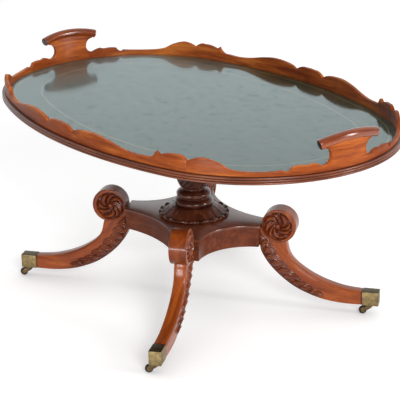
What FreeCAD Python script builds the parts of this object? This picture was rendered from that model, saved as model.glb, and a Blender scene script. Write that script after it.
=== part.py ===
import FreeCAD, Part
import Sketcher
import math
import os

# Tray top tea table: an oval mahogany tray with a scalloped gallery, carried by a pedestal
# with four scroll-topped sabre legs on brass toe caps and castors.
# Millimetres. +X runs along the tray's long axis, +Z up, the floor is Z = 0.

# Driving dimensions: name, value, what it measures
SIZES = [
    ("tray_length", 1120, "outer length of the oval over the rim moulding"),
    ("tray_width", 734, "outer width of the oval over the rim moulding"),
    ("board_thickness", 9, "tray board"),
    ("rim_height", 16, "reeded rim moulding, height"),
    ("rim_depth", 7, "reeded rim moulding, depth from the board's edge outwards"),
    ("reed_depth", 1.8, "depth of the hollows between the reeds"),
    ("glue_line", 0.2, "gap between glued curved faces"),
    ("gallery_thickness", 9, "gallery wall"),
    ("gallery_height", 41, "tallest hump of the gallery above the tray board"),
    ("leather_thickness", 1.2, "leather panel"),
    ("glass_thickness", 4, "glass plate"),
    ("glass_play", 0.6, "gap between the glass and the gallery"),
    ("upright_height", 72, "middle of the handle upright above the tray board, before the grip is let in"),
    ("bite_radius", 18.5, "finger bite beside the handle upright"),
    ("bite_reach", 64.5, "finger bite's centre from the middle of the handle"),
    ("bite_height", 38, "finger bite's centre above the tray board"),
    ("grip_radius", 10.5, "rolled grip, section radius"),
    ("grip_reach", 76, "half length of the rolled grip"),
    ("grip_rise", 75.5, "middle of the grip's centre line above the tray board"),
    ("grip_drop", 10.5, "how far the grip's ends lie below its middle"),
    ("grip_lean", 5.6, "grip's centre line outside the middle of the gallery wall"),
    ("bearer_length", 470, "bearer under the tray"),
    ("bearer_width", 46, "bearer under the tray"),
    ("bearer_depth", 20, "bearer and cleat under the tray"),
    ("bearer_chamfer", 8, "chamfer on the bearers' ends"),
    ("cleat_width", 30, "cleat between the bearers"),
    ("block_length", 170, "block on the column's top"),
    ("block_width", 150, "block on the column's top"),
    ("block_depth", 25, "block on the column's top"),
    ("block_chamfer", 7, "chamfer round the block's lower edge"),
    ("socket_play", 0.5, "gap between the block and the bearers and cleats round it"),
    ("screw_radius", 2, "wood screw shank"),
    ("screw_head_radius", 4, "wood screw head"),
    ("screw_head_depth", 2.5, "countersunk wood screw head"),
    ("screw_clearance", 0.1, "gap round a wood screw"),
    ("screw_bite", 6, "bearer screw's length inside the tray board"),
    ("bearer_screw_reach", 200, "bearer screws from the tray's long axis"),
    ("platform_height", 155, "underside of the platform above the floor"),
    ("platform_thickness", 46, "platform body"),
    ("arm_radius", 143.5, "end of the platform's arms from where a pair of legs meets"),
    ("arm_width", 57, "width of the platform's arms at their ends"),
    ("end_waist", 123, "platform's hollow ends from the column's axis"),
    ("side_waist", 93, "platform's hollow sides from the column's axis"),
    ("platform_board_thickness", 7, "top board of the platform"),
    ("platform_board_overhang", 3, "top board past the platform body"),
    ("leg_angle", 45, "degrees between the legs and the stand's long axis"),
    ("leg_shift", 36, "where a pair of legs would meet, from the column's axis along the stand"),
    ("stand_turn", -4.9, "degrees by which the stand sits turned under the tray"),
    ("leg_thickness", 28, "sabre leg across its sides"),
    ("scroll_radius", 41, "scroll at the head of the leg"),
    ("scroll_gap", 4.5, "gap between the platform's arm and the scroll"),
    ("scroll_width", 42, "scroll across its two faces"),
    ("scroll_rim", 5, "plain band round the scroll's face"),
    ("rosette_depth", 4, "sunk field of the scroll's face"),
    ("rosette_rise", 3.2, "petals above the sunk field"),
    ("pip_radius", 5, "round pip in the middle of the rosette"),
    ("toe_height", 24, "underside of the toe cap above the floor"),
    ("toe_radius", 425.5, "outer end of the toe cap from where a pair of legs meets"),
    ("cap_length", 39, "brass toe cap"),
    ("cap_height", 33, "brass toe cap"),
    ("cap_wall", 1.6, "brass toe cap"),
    ("cap_play", 0.15, "gap between the toe cap and the wood inside it"),
    ("leg_tenon_length", 32, "leg's tenon in the platform"),
    ("leg_tenon_width", 14, "leg's tenon in the platform"),
    ("leg_tenon_height", 30, "leg's tenon in the platform"),
    ("leg_tenon_play", 0.1, "gap round a leg's tenon"),
    ("collar_height", 25, "carved collar on the platform"),
    ("collar_radius", 84, "rim of the carved collar"),
    ("collar_top_radius", 50, "upper edge of the carved collar"),
    ("collar_rim", 4, "upright rim of the carved collar"),
    ("column_height", 199, "turned column between the collar and the block"),
    ("tenon_radius", 20, "tenons at the column's two ends"),
    ("tenon_play", 0.15, "gap round the column's tenons"),
    ("torus_radius", 46, "thick ring at the column's foot"),
    ("shoulder_radius", 41, "second ring of the column"),
    ("neck_radius", 24, "neck between the rings and the vase"),
    ("bead_radius", 27.5, "bead round the neck"),
    ("vase_radius", 50, "widest part of the carved vase"),
    ("vase_top_radius", 29, "neck above the vase"),
    ("head_radius", 42, "disc under the block"),
    ("wedge_width", 3, "wedge in the column's lower tenon"),
    ("wedge_length", 30, "wedge in the column's lower tenon"),
    ("wedge_depth", 26, "wedge in the column's lower tenon"),
    ("wheel_radius", 9.5, "castor wheel"),
    ("wheel_width", 9, "castor wheel"),
    ("wheel_play", 0.4, "gap between the wheel's sides and the cheeks"),
    ("trail", 18, "castor wheel's axle behind its pivot"),
    ("castor_turn", 235, "degrees, the way the castors trail"),
    ("axle_radius", 1.6, "castor axle"),
    ("axle_play", 0.05, "gap between the axle and the wheel"),
    ("axle_head", 0.6, "axle's ends past the cheeks"),
    ("cheek", 2.2, "castor cheek"),
    ("eye_radius", 4.6, "rounded lower end of the castor cheek"),
    ("plate_radius", 8, "castor's bearing plate"),
    ("plate_thickness", 2.6, "castor's bearing plate"),
    ("plate_gap", 0.3, "gap between the bearing plate and the toe cap"),
    ("wheel_gap", 1.2, "gap round the wheel's tread inside the horn"),
    ("pivot_inset", 20, "castor's pivot pin from the toe cap's outer end"),
    ("pivot_radius", 3, "castor's pivot pin"),
    ("pivot_length", 18, "castor's pivot pin above its plate"),
    ("pivot_play", 0.06, "gap round the castor's pivot pin"),
    ("overrun", 5, "how far a cut runs past the piece"),
]

# Gallery outline from a handle to the middle of a long side. Each stroke joins the next: two
# points make a straight line, three an arc, more a smooth curve. A point is a share of the
# quarter oval and a share of the gallery's height.
PLATEAU_SHARES = [
    [(0.118, 0.66), (0.130, 0.60), (0.140, 0.60)],
    [(0.140, 0.60), (0.160, 0.62), (0.178, 0.58)],
    [(0.178, 0.58), (0.184, 0.43), (0.196, 0.34)],
]
SWEEP_SHARES = [
    [(0.196, 0.34), (0.202, 0.42), (0.210, 0.42)],
    [(0.210, 0.42), (0.265, 0.38), (0.320, 0.41)],
    [(0.320, 0.41), (0.352, 0.52), (0.385, 0.82), (0.425, 1.00), (0.455, 0.90), (0.473, 0.75)],
]
SIDE_SHARES = [
    [(0.473, 0.75), (0.482, 0.90), (0.510, 0.98)],
    [(0.510, 0.98), (0.545, 0.92), (0.562, 0.81)],
    [(0.562, 0.81), (0.575, 0.96)],
    [(0.575, 0.96), (0.584, 0.72), (0.612, 0.57)],
    [(0.612, 0.57), (0.660, 0.53), (0.710, 0.62), (0.770, 0.84), (0.830, 0.96), (0.900, 0.86),
     (0.932, 0.62)],
    [(0.932, 0.62), (0.948, 0.82), (0.975, 0.91)],
]

# Sabre leg: shares of the run from the platform to the toe, and of the fall to the toe
LOWER_EDGE_SHARES = [(0.033, 0.80), (0.147, 0.525), (0.347, 0.235), (0.596, 0.055), (0.796, 0.0)]
UPPER_EDGE_SHARES = [(0.030, 0.72), (0.130, 0.50), (0.290, 0.315), (0.470, 0.175), (0.700, 0.055)]
LEG_SPRING_DEGREES = -66

# Rosette petal: shares of the sunk field's radius and degrees of swirl
PETAL_COUNT = 8
PETAL_ROOT_SHARE = 0.26
PETAL_TIP_SHARE = 0.93
PETAL_FRONT_SHARES = [(0.60, 38)]
PETAL_BACK_SHARES = [(0.88, 26), (0.55, -6)]
PETAL_TIP_DEGREES = 52

# Column from its foot up: the size it follows, a share of it, and a share of the column's height
COLUMN_SHARES = [
    ("torus_radius", 0.90, 0.000), ("torus_radius", 1.00, 0.030), ("torus_radius", 1.00, 0.060),
    ("shoulder_radius", 0.86, 0.100), ("shoulder_radius", 1.00, 0.130), ("shoulder_radius", 1.00, 0.165),
    ("neck_radius", 1.00, 0.190), ("bead_radius", 1.00, 0.205), ("neck_radius", 1.00, 0.220),
    ("vase_radius", 0.64, 0.230), ("vase_radius", 0.86, 0.375), ("vase_radius", 1.00, 0.530),
    ("vase_radius", 0.80, 0.720), ("vase_top_radius", 1.00, 0.850), ("head_radius", 1.00, 0.930),
    ("head_radius", 1.00, 1.000),
]

# Carved collar: shares of the way from its rim in to its top, and of its height
SKIRT_SHARES = [(0.60, 0.34), (0.25, 0.70)]

# Castor horn: shares of the trail and of the way from the axle up to the plate
EYE_DEGREES = [205, 245, 285, 325, 5, 50]
HORN_BACK_SHARE = 0.6
HORN_INSIDE_SHARES = [0.30, 0.40]
HORN_OUTSIDE_SHARES = [0.85, 0.85]

# Small shares and angles used in one place
END_ARC_SHARE = 0.895
REED_COUNT = 3
GRIP_SIDES = 12
PIP_SIDES = 8
EYE_SIDES = 8
PLATE_SIDES = 12
SPRING_SHARE = 0.9
JOINT_SHARE = 0.473
NOTCH_EXIT_SHARES = [(0.196, 0.34), (0.200, 0.46)]
NOTCH_ENTRY_SHARES = [(0.190, 0.62), (0.196, 0.34)]
JOINT_EXIT_SHARES = [(0.473, 0.75), (0.490, 0.75)]
JOINT_ENTRY_SHARES = [(0.430, 0.75), (0.473, 0.75)]
SIDE_CREST_SHARE = 0.93
SEAT_OVERRUN_DEGREES = 2

doc = FreeCAD.newDocument("tray_top_table")
sheet = doc.addObject("Spreadsheet::Sheet", "sizes")
for row, (alias, value, note) in enumerate(SIZES, start=1):
    sheet.set(f"A{row}", note)
    sheet.set(f"B{row}", str(value))
    sheet.setAlias(f"B{row}", alias)
doc.recompute()

V = FreeCAD.Vector
UP = V(0, 0, 1)
nodes = []


def size(alias):
    return float(sheet.get(alias))


def new_body(name, place=FreeCAD.Placement()):
    body = doc.addObject("PartDesign::Body", name)
    body.Label = name
    body.Placement = place
    nodes.append(body)
    return body


def new_sketch(body, name, role="XY_Plane", place=FreeCAD.Placement()):
    sketch = body.newObject("Sketcher::SketchObject", body.Name + "_" + name)
    plane = [feature for feature in body.Origin.OriginFeatures if feature.Role == role][0]
    sketch.AttachmentSupport = [(plane, "")]
    sketch.MapMode = "FlatFace"
    sketch.AttachmentOffset = place
    return sketch


def draw(sketch, strokes):
    """Adds strokes end to end: two points make a line, three an arc, more a smooth curve."""
    for points in strokes:
        vectors = [V(x, y, 0) for x, y in points]
        if len(vectors) == 2:
            curve = Part.LineSegment(*vectors)
        elif len(vectors) == 3:
            curve = Part.Arc(*vectors)
        else:
            curve = Part.BSplineCurve()
            curve.interpolate(vectors)
        sketch.addGeometry(curve, False)


def draw_circle(sketch, x, y, radius, expression):
    index = sketch.addGeometry(Part.Circle(V(x, y, 0), UP, radius), False)
    constraint = sketch.addConstraint(Sketcher.Constraint("Radius", index, radius))
    sketch.setExpression(f"Constraints[{constraint}]", expression)


def draw_polygon(sketch, points):
    closed = points + points[:1]
    draw(sketch, [closed[i:i + 2] for i in range(len(points))])


def flats(points):
    """Chain of straight strokes through points."""
    return [points[i:i + 2] for i in range(len(points) - 1)]


def draw_facets(sketch, x, y, radius, sides):
    """Regular polygon round a circle's centre."""
    angles = [2 * math.pi * (i + 0.5) / sides for i in range(sides)]
    draw_polygon(sketch, [(x + radius * math.cos(a), y + radius * math.sin(a)) for a in angles])


def draw_box(sketch, x0, y0, x1, y1):
    draw_polygon(sketch, [(x0, y0), (x1, y0), (x1, y1), (x0, y1)])


def feature(body, kind, name, sketch):
    made = body.newObject("PartDesign::" + kind, body.Name + "_" + name)
    made.Profile = sketch
    return made


def pad(body, name, sketch, length, symmetric=False, reverse=False):
    made = feature(body, "Pad", name, sketch)
    made.setExpression("Length", length)
    made.SideType = "Symmetric" if symmetric else "One side"
    made.Reversed = reverse
    return made


def pocket(body, name, sketch, length, symmetric=False, reverse=False):
    doc.recompute()
    before = body.Shape.Volume
    made = feature(body, "Pocket", name, sketch)
    made.setExpression("Length", length)
    made.SideType = "Symmetric" if symmetric else "One side"
    made.Reversed = reverse
    doc.recompute()
    if body.Shape.Volume >= before:
        raise ValueError(f"{body.Label}: {name} cuts nothing")
    return made


def revolve(body, kind, name, sketch, angle=360):
    made = feature(body, kind, name, sketch)
    made.ReferenceAxis = (sketch, ["V_Axis"])
    made.Angle = angle
    made.Midplane = True
    return made


def lift(height, x=0.0, y=0.0, turn=0.0):
    return FreeCAD.Placement(V(x, y, height), FreeCAD.Rotation(UP, turn))


def facing(angle, reach=0.0, x=0.0, y=0.0):
    """Upright sketch plane whose normal points outwards at an angle in degrees, at a reach."""
    a = math.radians(angle)
    out = V(math.cos(a), math.sin(a), 0)
    rotation = FreeCAD.Rotation(V(-math.sin(a), math.cos(a), 0), UP, out, "ZYX")
    return FreeCAD.Placement(V(x, y, 0) + out * reach, rotation)


# Heights of the main levels
PLATFORM_TOP = size("platform_height") + size("platform_thickness")
COLLAR_FOOT = PLATFORM_TOP + size("platform_board_thickness")
COLUMN_FOOT = COLLAR_FOOT + size("collar_height")
BLOCK_FOOT = COLUMN_FOOT + size("column_height")
TRAY_FOOT = BLOCK_FOOT + size("block_depth")
BOARD_TOP = TRAY_FOOT + size("board_thickness")


class Oval:
    """Four-centred oval at an inset from the tray's outer edge."""

    def __init__(self, inset):
        half_length = size("tray_length") / 2
        half_width = size("tray_width") / 2
        end = END_ARC_SHARE * half_width
        side = (half_length ** 2 + half_width ** 2 - 2 * half_length * end) / (2 * (half_width - end))
        self.end_centre = half_length - end
        self.side_centre = side - half_width
        self.end = end - inset
        self.side = side - inset
        self.end_turn = math.atan2(self.side_centre, self.end_centre)
        self.end_run = self.end * self.end_turn
        self.quarter = self.end_run + self.side * (math.pi / 2 - self.end_turn)

    def at(self, turn):
        """Point of the right half whose outward normal has this angle from +X."""
        if abs(turn) <= self.end_turn:
            return (self.end_centre + self.end * math.cos(turn), self.end * math.sin(turn))
        hand = math.copysign(1, turn)
        return (self.side * math.cos(turn), self.side * math.sin(turn) - hand * self.side_centre)

    def turn_at(self, share):
        """Angle of the normal at a share of the quarter from the right end to the back's middle."""
        run = share * self.quarter
        if run < self.end_run:
            return run / self.end
        return self.end_turn + (run - self.end_run) / self.side

    def at_share(self, share):
        return self.at(self.turn_at(share))

    def middle(self):
        return (0.0, self.side - self.side_centre)

    def strokes(self):
        """The whole oval as four arcs."""
        end, middle = self.at(0)[0], self.middle()[1]
        x, y = self.at(self.end_turn)
        return [
            [(x, -y), (end, 0.0), (x, y)],
            [(x, y), (0.0, middle), (-x, y)],
            [(-x, y), (-end, 0.0), (-x, -y)],
            [(-x, -y), (0.0, -middle), (x, -y)],
        ]


RIM = Oval(0)
BOARD = Oval(size("rim_depth") + size("glue_line"))
GALLERY_INSET = size("rim_depth") + 2 * size("glue_line")
GALLERY_OUT = Oval(GALLERY_INSET)
GALLERY_MID = Oval(GALLERY_INSET + size("gallery_thickness") / 2)
GALLERY_IN = Oval(GALLERY_INSET + size("gallery_thickness"))
LEATHER = Oval(GALLERY_INSET + size("gallery_thickness") + size("glue_line"))
GLASS = Oval(GALLERY_INSET + size("gallery_thickness") + size("glass_play"))


def oval_plate(name, oval, height, thickness):
    body = new_body(name, lift(height))
    sketch = new_sketch(body, "outline")
    draw(sketch, oval.strokes())
    pad(body, "plate", sketch, thickness)
    return body


def wood_screw(name, x, y, foot, length):
    """Countersunk screw pointing up, its head's flat at the foot."""
    head = doc.addObject("Part::Cone", name + "_head")
    head.setExpression("Radius1", "sizes.screw_head_radius")
    head.setExpression("Radius2", "sizes.screw_radius")
    head.setExpression("Height", "sizes.screw_head_depth")
    shank = doc.addObject("Part::Cylinder", name + "_shank")
    shank.setExpression("Radius", "sizes.screw_radius")
    shank.Height = length - size("screw_head_depth")
    head.Placement = lift(foot, x, y)
    shank.Placement = lift(foot + size("screw_head_depth"), x, y)
    screw = doc.addObject("Part::Fuse", name)
    screw.Base = head
    screw.Tool = shank
    return screw


def screw_group(name, screws):
    group = doc.addObject("Part::Compound", name)
    group.Label = name
    group.Links = screws
    nodes.append(group)


def screw_hole(body, name, points, foot, length):
    """Countersunk holes for screws that point up, in a body's own frame."""
    for index, (x, y) in enumerate(points):
        gap = size("screw_clearance")
        radius = size("screw_radius") + gap
        head = size("screw_head_radius") + gap
        depth = size("screw_head_depth")
        sketch = new_sketch(body, f"{name}_{index}", "XZ_Plane",
                            FreeCAD.Placement(V(x, foot, -y), FreeCAD.Rotation()))
        draw_polygon(sketch, [(0, -size("overrun")), (head, -size("overrun")), (head, 0), (radius, depth),
                              (radius, length + gap), (0, length + gap)])
        before = body.Shape.Volume
        revolve(body, "Groove", f"{name}_cut_{index}", sketch)
        doc.recompute()
        if body.Shape.Volume >= before:
            raise ValueError(f"{body.Label}: {name} cuts nothing")


# Places of the joints and the screws
JOINT_TURN = GALLERY_MID.turn_at(JOINT_SHARE)
BEARER_REACH = (size("block_length") + size("bearer_width")) / 2 + size("socket_play")
SCROLL_REACH = size("arm_radius") + size("scroll_gap") + size("scroll_radius")
PIVOT_REACH = size("toe_radius") - size("pivot_inset")
LEGS = {
    "right_back": (1, size("leg_angle")),
    "left_back": (-1, 180 - size("leg_angle")),
    "left_front": (-1, 180 + size("leg_angle")),
    "right_front": (1, 360 - size("leg_angle")),
}
BEARER_SCREWS = []
for side in (1, -1):
    for hand in (1, -1):
        BEARER_SCREWS.append((side * BEARER_REACH, hand * size("bearer_screw_reach")))


def pilot_holes(body, name, points, depth):
    """Round holes cut upwards from a body's underside for the shanks of screws."""
    sketch = new_sketch(body, name)
    for x, y in points:
        draw_circle(sketch, x, y, size("screw_radius") + size("screw_clearance"),
                    "sizes.screw_radius + sizes.screw_clearance")
    pocket(body, name + "_cut", sketch, depth, reverse=True)


# Tray board: screws from the bearers stop in it
board = oval_plate("tray_board", BOARD, TRAY_FOOT, "sizes.board_thickness")
doc.recompute()
pilot_holes(board, "bearer_holes", BEARER_SCREWS, "sizes.screw_bite + sizes.screw_clearance")


# Rim moulding: a strip with three reeds bent round the board's edge
def reed_section(outer):
    """Section of the moulding, its crowns at a distance from the turning axis."""
    inner = outer - size("rim_depth")
    hollow = outer - size("reed_depth")
    step = size("rim_height") / REED_COUNT
    points = [(inner, 0.0)]
    for reed in range(REED_COUNT):
        points += [(hollow, reed * step)] if reed == 0 else []
        points += [(outer, (reed + 0.5) * step), (hollow, (reed + 1) * step)]
    return points + [(inner, size("rim_height"))]


moulding = new_body("rim_moulding", lift(TRAY_FOOT))
path = new_sketch(moulding, "path")
draw(path, RIM.strokes())
section = new_sketch(moulding, "section", "XZ_Plane")
draw_polygon(section, reed_section(size("tray_length") / 2))
strip = feature(moulding, "AdditivePipe", "strip", section)
strip.Spine = (path, [])
strip.Mode = "Standard"


# Gallery: four scalloped lengths standing on the board
def reverse(strokes):
    return [list(reversed(stroke)) for stroke in reversed(strokes)]


def ring_length(sketch, outer, inner):
    """Closed outline between an outer and an inner chain of strokes."""
    first = [outer[-1][-1], inner[-1][-1]]
    last = [inner[0][0], outer[0][0]]
    draw(sketch, outer + [first] + reverse(inner) + [last])


def stub(oval):
    """The short arc between a joint and the place where the end arc meets the side arc."""
    first, last = sorted((JOINT_TURN, oval.end_turn))
    return [oval.at(first), oval.at((first + last) / 2), oval.at(last)]


def end_chain(oval):
    if JOINT_TURN <= oval.end_turn:
        return [[oval.at(-JOINT_TURN), oval.at(0), oval.at(JOINT_TURN)]]
    back = stub(oval)
    front = [(x, -y) for x, y in back]
    return [front[::-1], [front[0], oval.at(0), back[0]], back]


def side_chain(oval):
    right = stub(oval)
    if JOINT_TURN > oval.end_turn:
        right = right[-1:]
    left = [(-x, y) for x, y in right]
    side = [[right[-1], oval.middle(), left[-1]]]
    return side if len(right) == 1 else [right] + side + [left[::-1]]


def end_strokes(strokes, middle, hand):
    """Outline strokes seen square to the wall where its normal has an angle."""
    placed = []
    for stroke in strokes:
        points = []
        for share, height in stroke:
            x, y = GALLERY_MID.at_share(share)
            along = y * math.cos(middle) - (x - GALLERY_MID.end_centre) * math.sin(middle)
            points.append((hand * along, height * size("gallery_height")))
        placed.append(points)
    return placed


def close_above(strokes, top):
    """Closes a chain of strokes with straight lines above the wall."""
    start, end = strokes[0][0], strokes[-1][-1]
    high_start, high_end = (start[0], top), (end[0], top)
    return strokes + [[end, high_end], [high_end, high_start], [high_start, start]]


def cut_handle_side(body, hand):
    """Finger bite and plateau on one side of a handle upright."""
    reach, height, radius = size("bite_reach"), size("bite_height"), size("bite_radius")
    slant = radius * math.sqrt(0.5)
    plateau = end_strokes(PLATEAU_SHARES + [NOTCH_EXIT_SHARES], 0.0, hand)
    bite = [
        [(hand * reach, height + radius), (hand * (reach - radius), height), (hand * reach, height - radius)],
        [(hand * reach, height - radius), (hand * (reach + slant), height - slant), plateau[0][0]],
    ]
    sketch = new_sketch(body, f"bite_{hand + 1}", "XY_Plane", facing(0, 0, GALLERY_MID.end_centre))
    draw(sketch, close_above(bite + plateau, size("upright_height") + 2 * size("overrun")))
    pocket(body, f"bite_cut_{hand + 1}", sketch, "sizes.tray_length", symmetric=True)


def cut_arch(body):
    """Arched top of the upright, following the grip."""
    reach, top = size("grip_reach"), size("upright_height")
    arch = [[(-reach, top - size("grip_drop")), (0.0, top), (reach, top - size("grip_drop"))]]
    sketch = new_sketch(body, "arch", "XY_Plane", facing(0, 0, GALLERY_MID.end_centre))
    draw(sketch, close_above(arch, top + 2 * size("overrun")))
    pocket(body, "arch_cut", sketch, "sizes.tray_length", symmetric=True)


def cut_sweep(body, hand):
    """Long trough and tall hump between a handle and the joint with a side length."""
    middle = (GALLERY_MID.turn_at(SWEEP_SHARES[0][0][0]) + JOINT_TURN) / 2
    strokes = end_strokes([NOTCH_ENTRY_SHARES] + SWEEP_SHARES + [JOINT_EXIT_SHARES], middle, hand)
    sketch = new_sketch(body, f"sweep_{hand + 1}", "XY_Plane",
                        facing(hand * math.degrees(middle), 0, GALLERY_MID.end_centre))
    draw(sketch, close_above(strokes, size("upright_height") + 2 * size("overrun")))
    pocket(body, f"sweep_cut_{hand + 1}", sketch, "sizes.tray_length", symmetric=True)


class Grip:
    """The rolled grip's centre line: an arc in a leaning plane."""

    def __init__(self):
        plan = GALLERY_MID.end + size("grip_lean")
        reach = size("grip_reach")
        back = plan - math.sqrt(plan ** 2 - reach ** 2)
        sag = math.hypot(back, size("grip_drop"))
        self.radius = (reach ** 2 + sag ** 2) / (2 * sag)
        self.tilt = math.atan2(size("grip_drop"), back)
        self.x = GALLERY_MID.end_centre + plan - self.radius * math.cos(self.tilt)
        self.z = size("grip_rise") - self.radius * math.sin(self.tilt)
        self.sweep = 2 * math.degrees(math.asin(reach / self.radius))

    def sketch(self, body, name, radius):
        turn = FreeCAD.Rotation(UP, math.degrees(self.tilt))
        sketch = new_sketch(body, name, "XZ_Plane", FreeCAD.Placement(V(self.x, self.z, 0), turn))
        draw_facets(sketch, self.radius, 0, radius, GRIP_SIDES)
        return sketch


def gallery_end(name, turn):
    """End length with the handle upright, hollowed on top for the grip."""
    body = new_body(name, lift(BOARD_TOP, turn=turn))
    sketch = new_sketch(body, "plan")
    ring_length(sketch, end_chain(GALLERY_OUT), end_chain(GALLERY_IN))
    pad(body, "wall", sketch, "sizes.upright_height + sizes.overrun")
    cut_arch(body)
    for hand in (1, -1):
        cut_handle_side(body, hand)
        cut_sweep(body, hand)
    seat = GRIP.sketch(body, "seat", size("grip_radius") + size("glue_line"))
    revolve(body, "Groove", "seat_cut", seat, GRIP.sweep + SEAT_OVERRUN_DEGREES)


def handle_grip(name, turn):
    """Rolled grip with flat ends."""
    body = new_body(name, lift(BOARD_TOP, turn=turn))
    sketch = GRIP.sketch(body, "roll", size("grip_radius"))
    revolve(body, "Revolution", "roll_turn", sketch, GRIP.sweep)


def gallery_side(name, turn):
    """Side length, the same on both sides of its middle."""
    body = new_body(name, lift(BOARD_TOP, turn=turn))
    sketch = new_sketch(body, "plan")
    ring_length(sketch, side_chain(GALLERY_OUT), side_chain(GALLERY_IN))
    pad(body, "wall", sketch, "sizes.gallery_height")
    right = []
    for stroke in [JOINT_ENTRY_SHARES] + SIDE_SHARES:
        right.append([(GALLERY_MID.at_share(s)[0], h * size("gallery_height")) for s, h in stroke])
    left = [[(-x, z) for x, z in stroke] for stroke in reverse(right)]
    crest = [right[-1][-1], (0.0, SIDE_CREST_SHARE * size("gallery_height")), left[0][0]]
    outline = new_sketch(body, "scallops", "XZ_Plane")
    draw(outline, close_above(right + [crest] + left, size("gallery_height") + size("overrun")))
    pocket(body, "scallop_cut", outline, "sizes.tray_length", symmetric=True)


GRIP = Grip()
gallery_end("gallery_right", 0)
gallery_end("gallery_left", 180)
gallery_side("gallery_back", 0)
gallery_side("gallery_front", 180)
handle_grip("handle_grip_right", 0)
handle_grip("handle_grip_left", 180)

# Leather panel and the glass plate on it
oval_plate("leather_panel", LEATHER, BOARD_TOP, "sizes.leather_thickness")
oval_plate("glass_plate", GLASS, BOARD_TOP + size("leather_thickness"), "sizes.glass_thickness")


# Bearers and cleats under the board make a socket round the block
def bearer(name, side):
    body = new_body(name, lift(TRAY_FOOT - size("bearer_depth"), side * BEARER_REACH))
    sketch = new_sketch(body, "face", "YZ_Plane")
    half, depth, cut = size("bearer_length") / 2, size("bearer_depth"), size("bearer_chamfer")
    right = [(half - cut, 0), (half, cut), (half, depth)]
    draw_polygon(sketch, [(-x, z) for x, z in reversed(right)] + right)
    pad(body, "bar", sketch, "sizes.bearer_width", symmetric=True)
    doc.recompute()
    screws = [(0.0, y) for x, y in BEARER_SCREWS if x * side > 0]
    screw_hole(body, "holes", screws, 0, size("bearer_depth"))


def cleat(name, side):
    body = new_body(name, lift(TRAY_FOOT - size("bearer_depth")))
    sketch = new_sketch(body, "plan")
    half = size("block_length") / 2 + size("socket_play")
    inner = side * (size("block_width") / 2 + size("socket_play"))
    draw_box(sketch, -half, inner, half, inner + side * size("cleat_width"))
    pad(body, "bar", sketch, "sizes.bearer_depth")


bearer("bearer_right", 1)
bearer("bearer_left", -1)
cleat("cleat_back", 1)
cleat("cleat_front", -1)
screws = []
for index, (x, y) in enumerate(BEARER_SCREWS):
    length = size("bearer_depth") + size("screw_bite")
    screws.append(wood_screw(f"bearer_screw_{index}", x, y, TRAY_FOOT - size("bearer_depth"), length))
screw_group("bearer_screws", screws)

# Block on the column's top, its lower edge chamfered
block = new_body("column_block", lift(BLOCK_FOOT))
plan = new_sketch(block, "plan")
half_x, half_y = size("block_length") / 2, size("block_width") / 2
draw_box(plan, -half_x, -half_y, half_x, half_y)
cuboid = pad(block, "cuboid", plan, "sizes.block_depth")
doc.recompute()
low_edges = []
for index, edge in enumerate(cuboid.Shape.Edges, start=1):
    if max(vertex.Z for vertex in edge.Vertexes) < size("overrun"):
        low_edges.append(f"Edge{index}")
chamfer = block.newObject("PartDesign::Chamfer", "block_chamfer_cut")
chamfer.Base = (cuboid, low_edges)
chamfer.setExpression("Size", "sizes.block_chamfer")
bore = new_sketch(block, "bore")
draw_circle(bore, 0, 0, size("tenon_radius") + size("tenon_play"), "sizes.tenon_radius + sizes.tenon_play")
pocket(block, "bore_cut", bore, "sizes.block_depth", reverse=True)


# Turned column with a tenon at each end and a slot for the wedge
def column_profile():
    """Half section as flats: tenon, thick ring, shoulder, bead, vase, head, tenon."""
    tall, low, high = size("column_height"), size("platform_height") - COLUMN_FOOT, size("block_depth")
    points = [(0.0, low), (size("tenon_radius"), low), (size("tenon_radius"), 0.0)]
    for ring, share, height in COLUMN_SHARES:
        points.append((share * size(ring), height * tall))
    points += [(size("tenon_radius"), tall), (size("tenon_radius"), tall + high), (0.0, tall + high)]
    return points


column = new_body("column", lift(COLUMN_FOOT))
profile = new_sketch(column, "profile", "XZ_Plane")
draw_polygon(profile, column_profile())
revolve(column, "Revolution", "turning", profile)
slot = new_sketch(column, "slot", "XY_Plane", lift(size("platform_height") - COLUMN_FOOT))
half_x, half_y = size("wedge_length") / 2, size("wedge_width") / 2
draw_box(slot, -half_x, -half_y, half_x, half_y)
pocket(column, "slot_cut", slot, "sizes.wedge_depth", reverse=True)

wedge = new_body("column_wedge", lift(size("platform_height")))
plan = new_sketch(wedge, "plan")
draw_box(plan, -half_x, -half_y, half_x, half_y)
pad(wedge, "bar", plan, "sizes.wedge_depth")

# Carved collar: a spreading skirt round the column's foot
collar = new_body("column_collar", lift(COLLAR_FOOT))
profile = new_sketch(collar, "profile", "XZ_Plane")
hole = size("tenon_radius") + size("tenon_play")
tall, rim, top = size("collar_height"), size("collar_radius"), size("collar_top_radius")
skirt = [(rim, size("collar_rim"))]
skirt += [(top + (rim - top) * r, z * tall) for r, z in SKIRT_SHARES]
skirt += [(top, tall)]
draw(profile, [
    [(hole, 0.0), (rim, 0.0)],
    [(rim, 0.0), (rim, size("collar_rim"))],
    *flats(skirt),
    [(top, tall), (hole, tall)],
    [(hole, tall), (hole, 0.0)],
])
revolve(collar, "Revolution", "turning", profile)


# Platform with four arms, and the board on it
def arm_points(extra):
    """Two corners of each arm's end, in turn round the platform."""
    corners = []
    for side, angle in LEGS.values():
        a = math.radians(angle)
        reach, half = size("arm_radius") + extra, size("arm_width") / 2 + extra
        for hand in (-1, 1):
            x = side * size("leg_shift") + reach * math.cos(a) - hand * half * math.sin(a)
            corners.append((x, reach * math.sin(a) + hand * half * math.cos(a)))
    return corners


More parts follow.
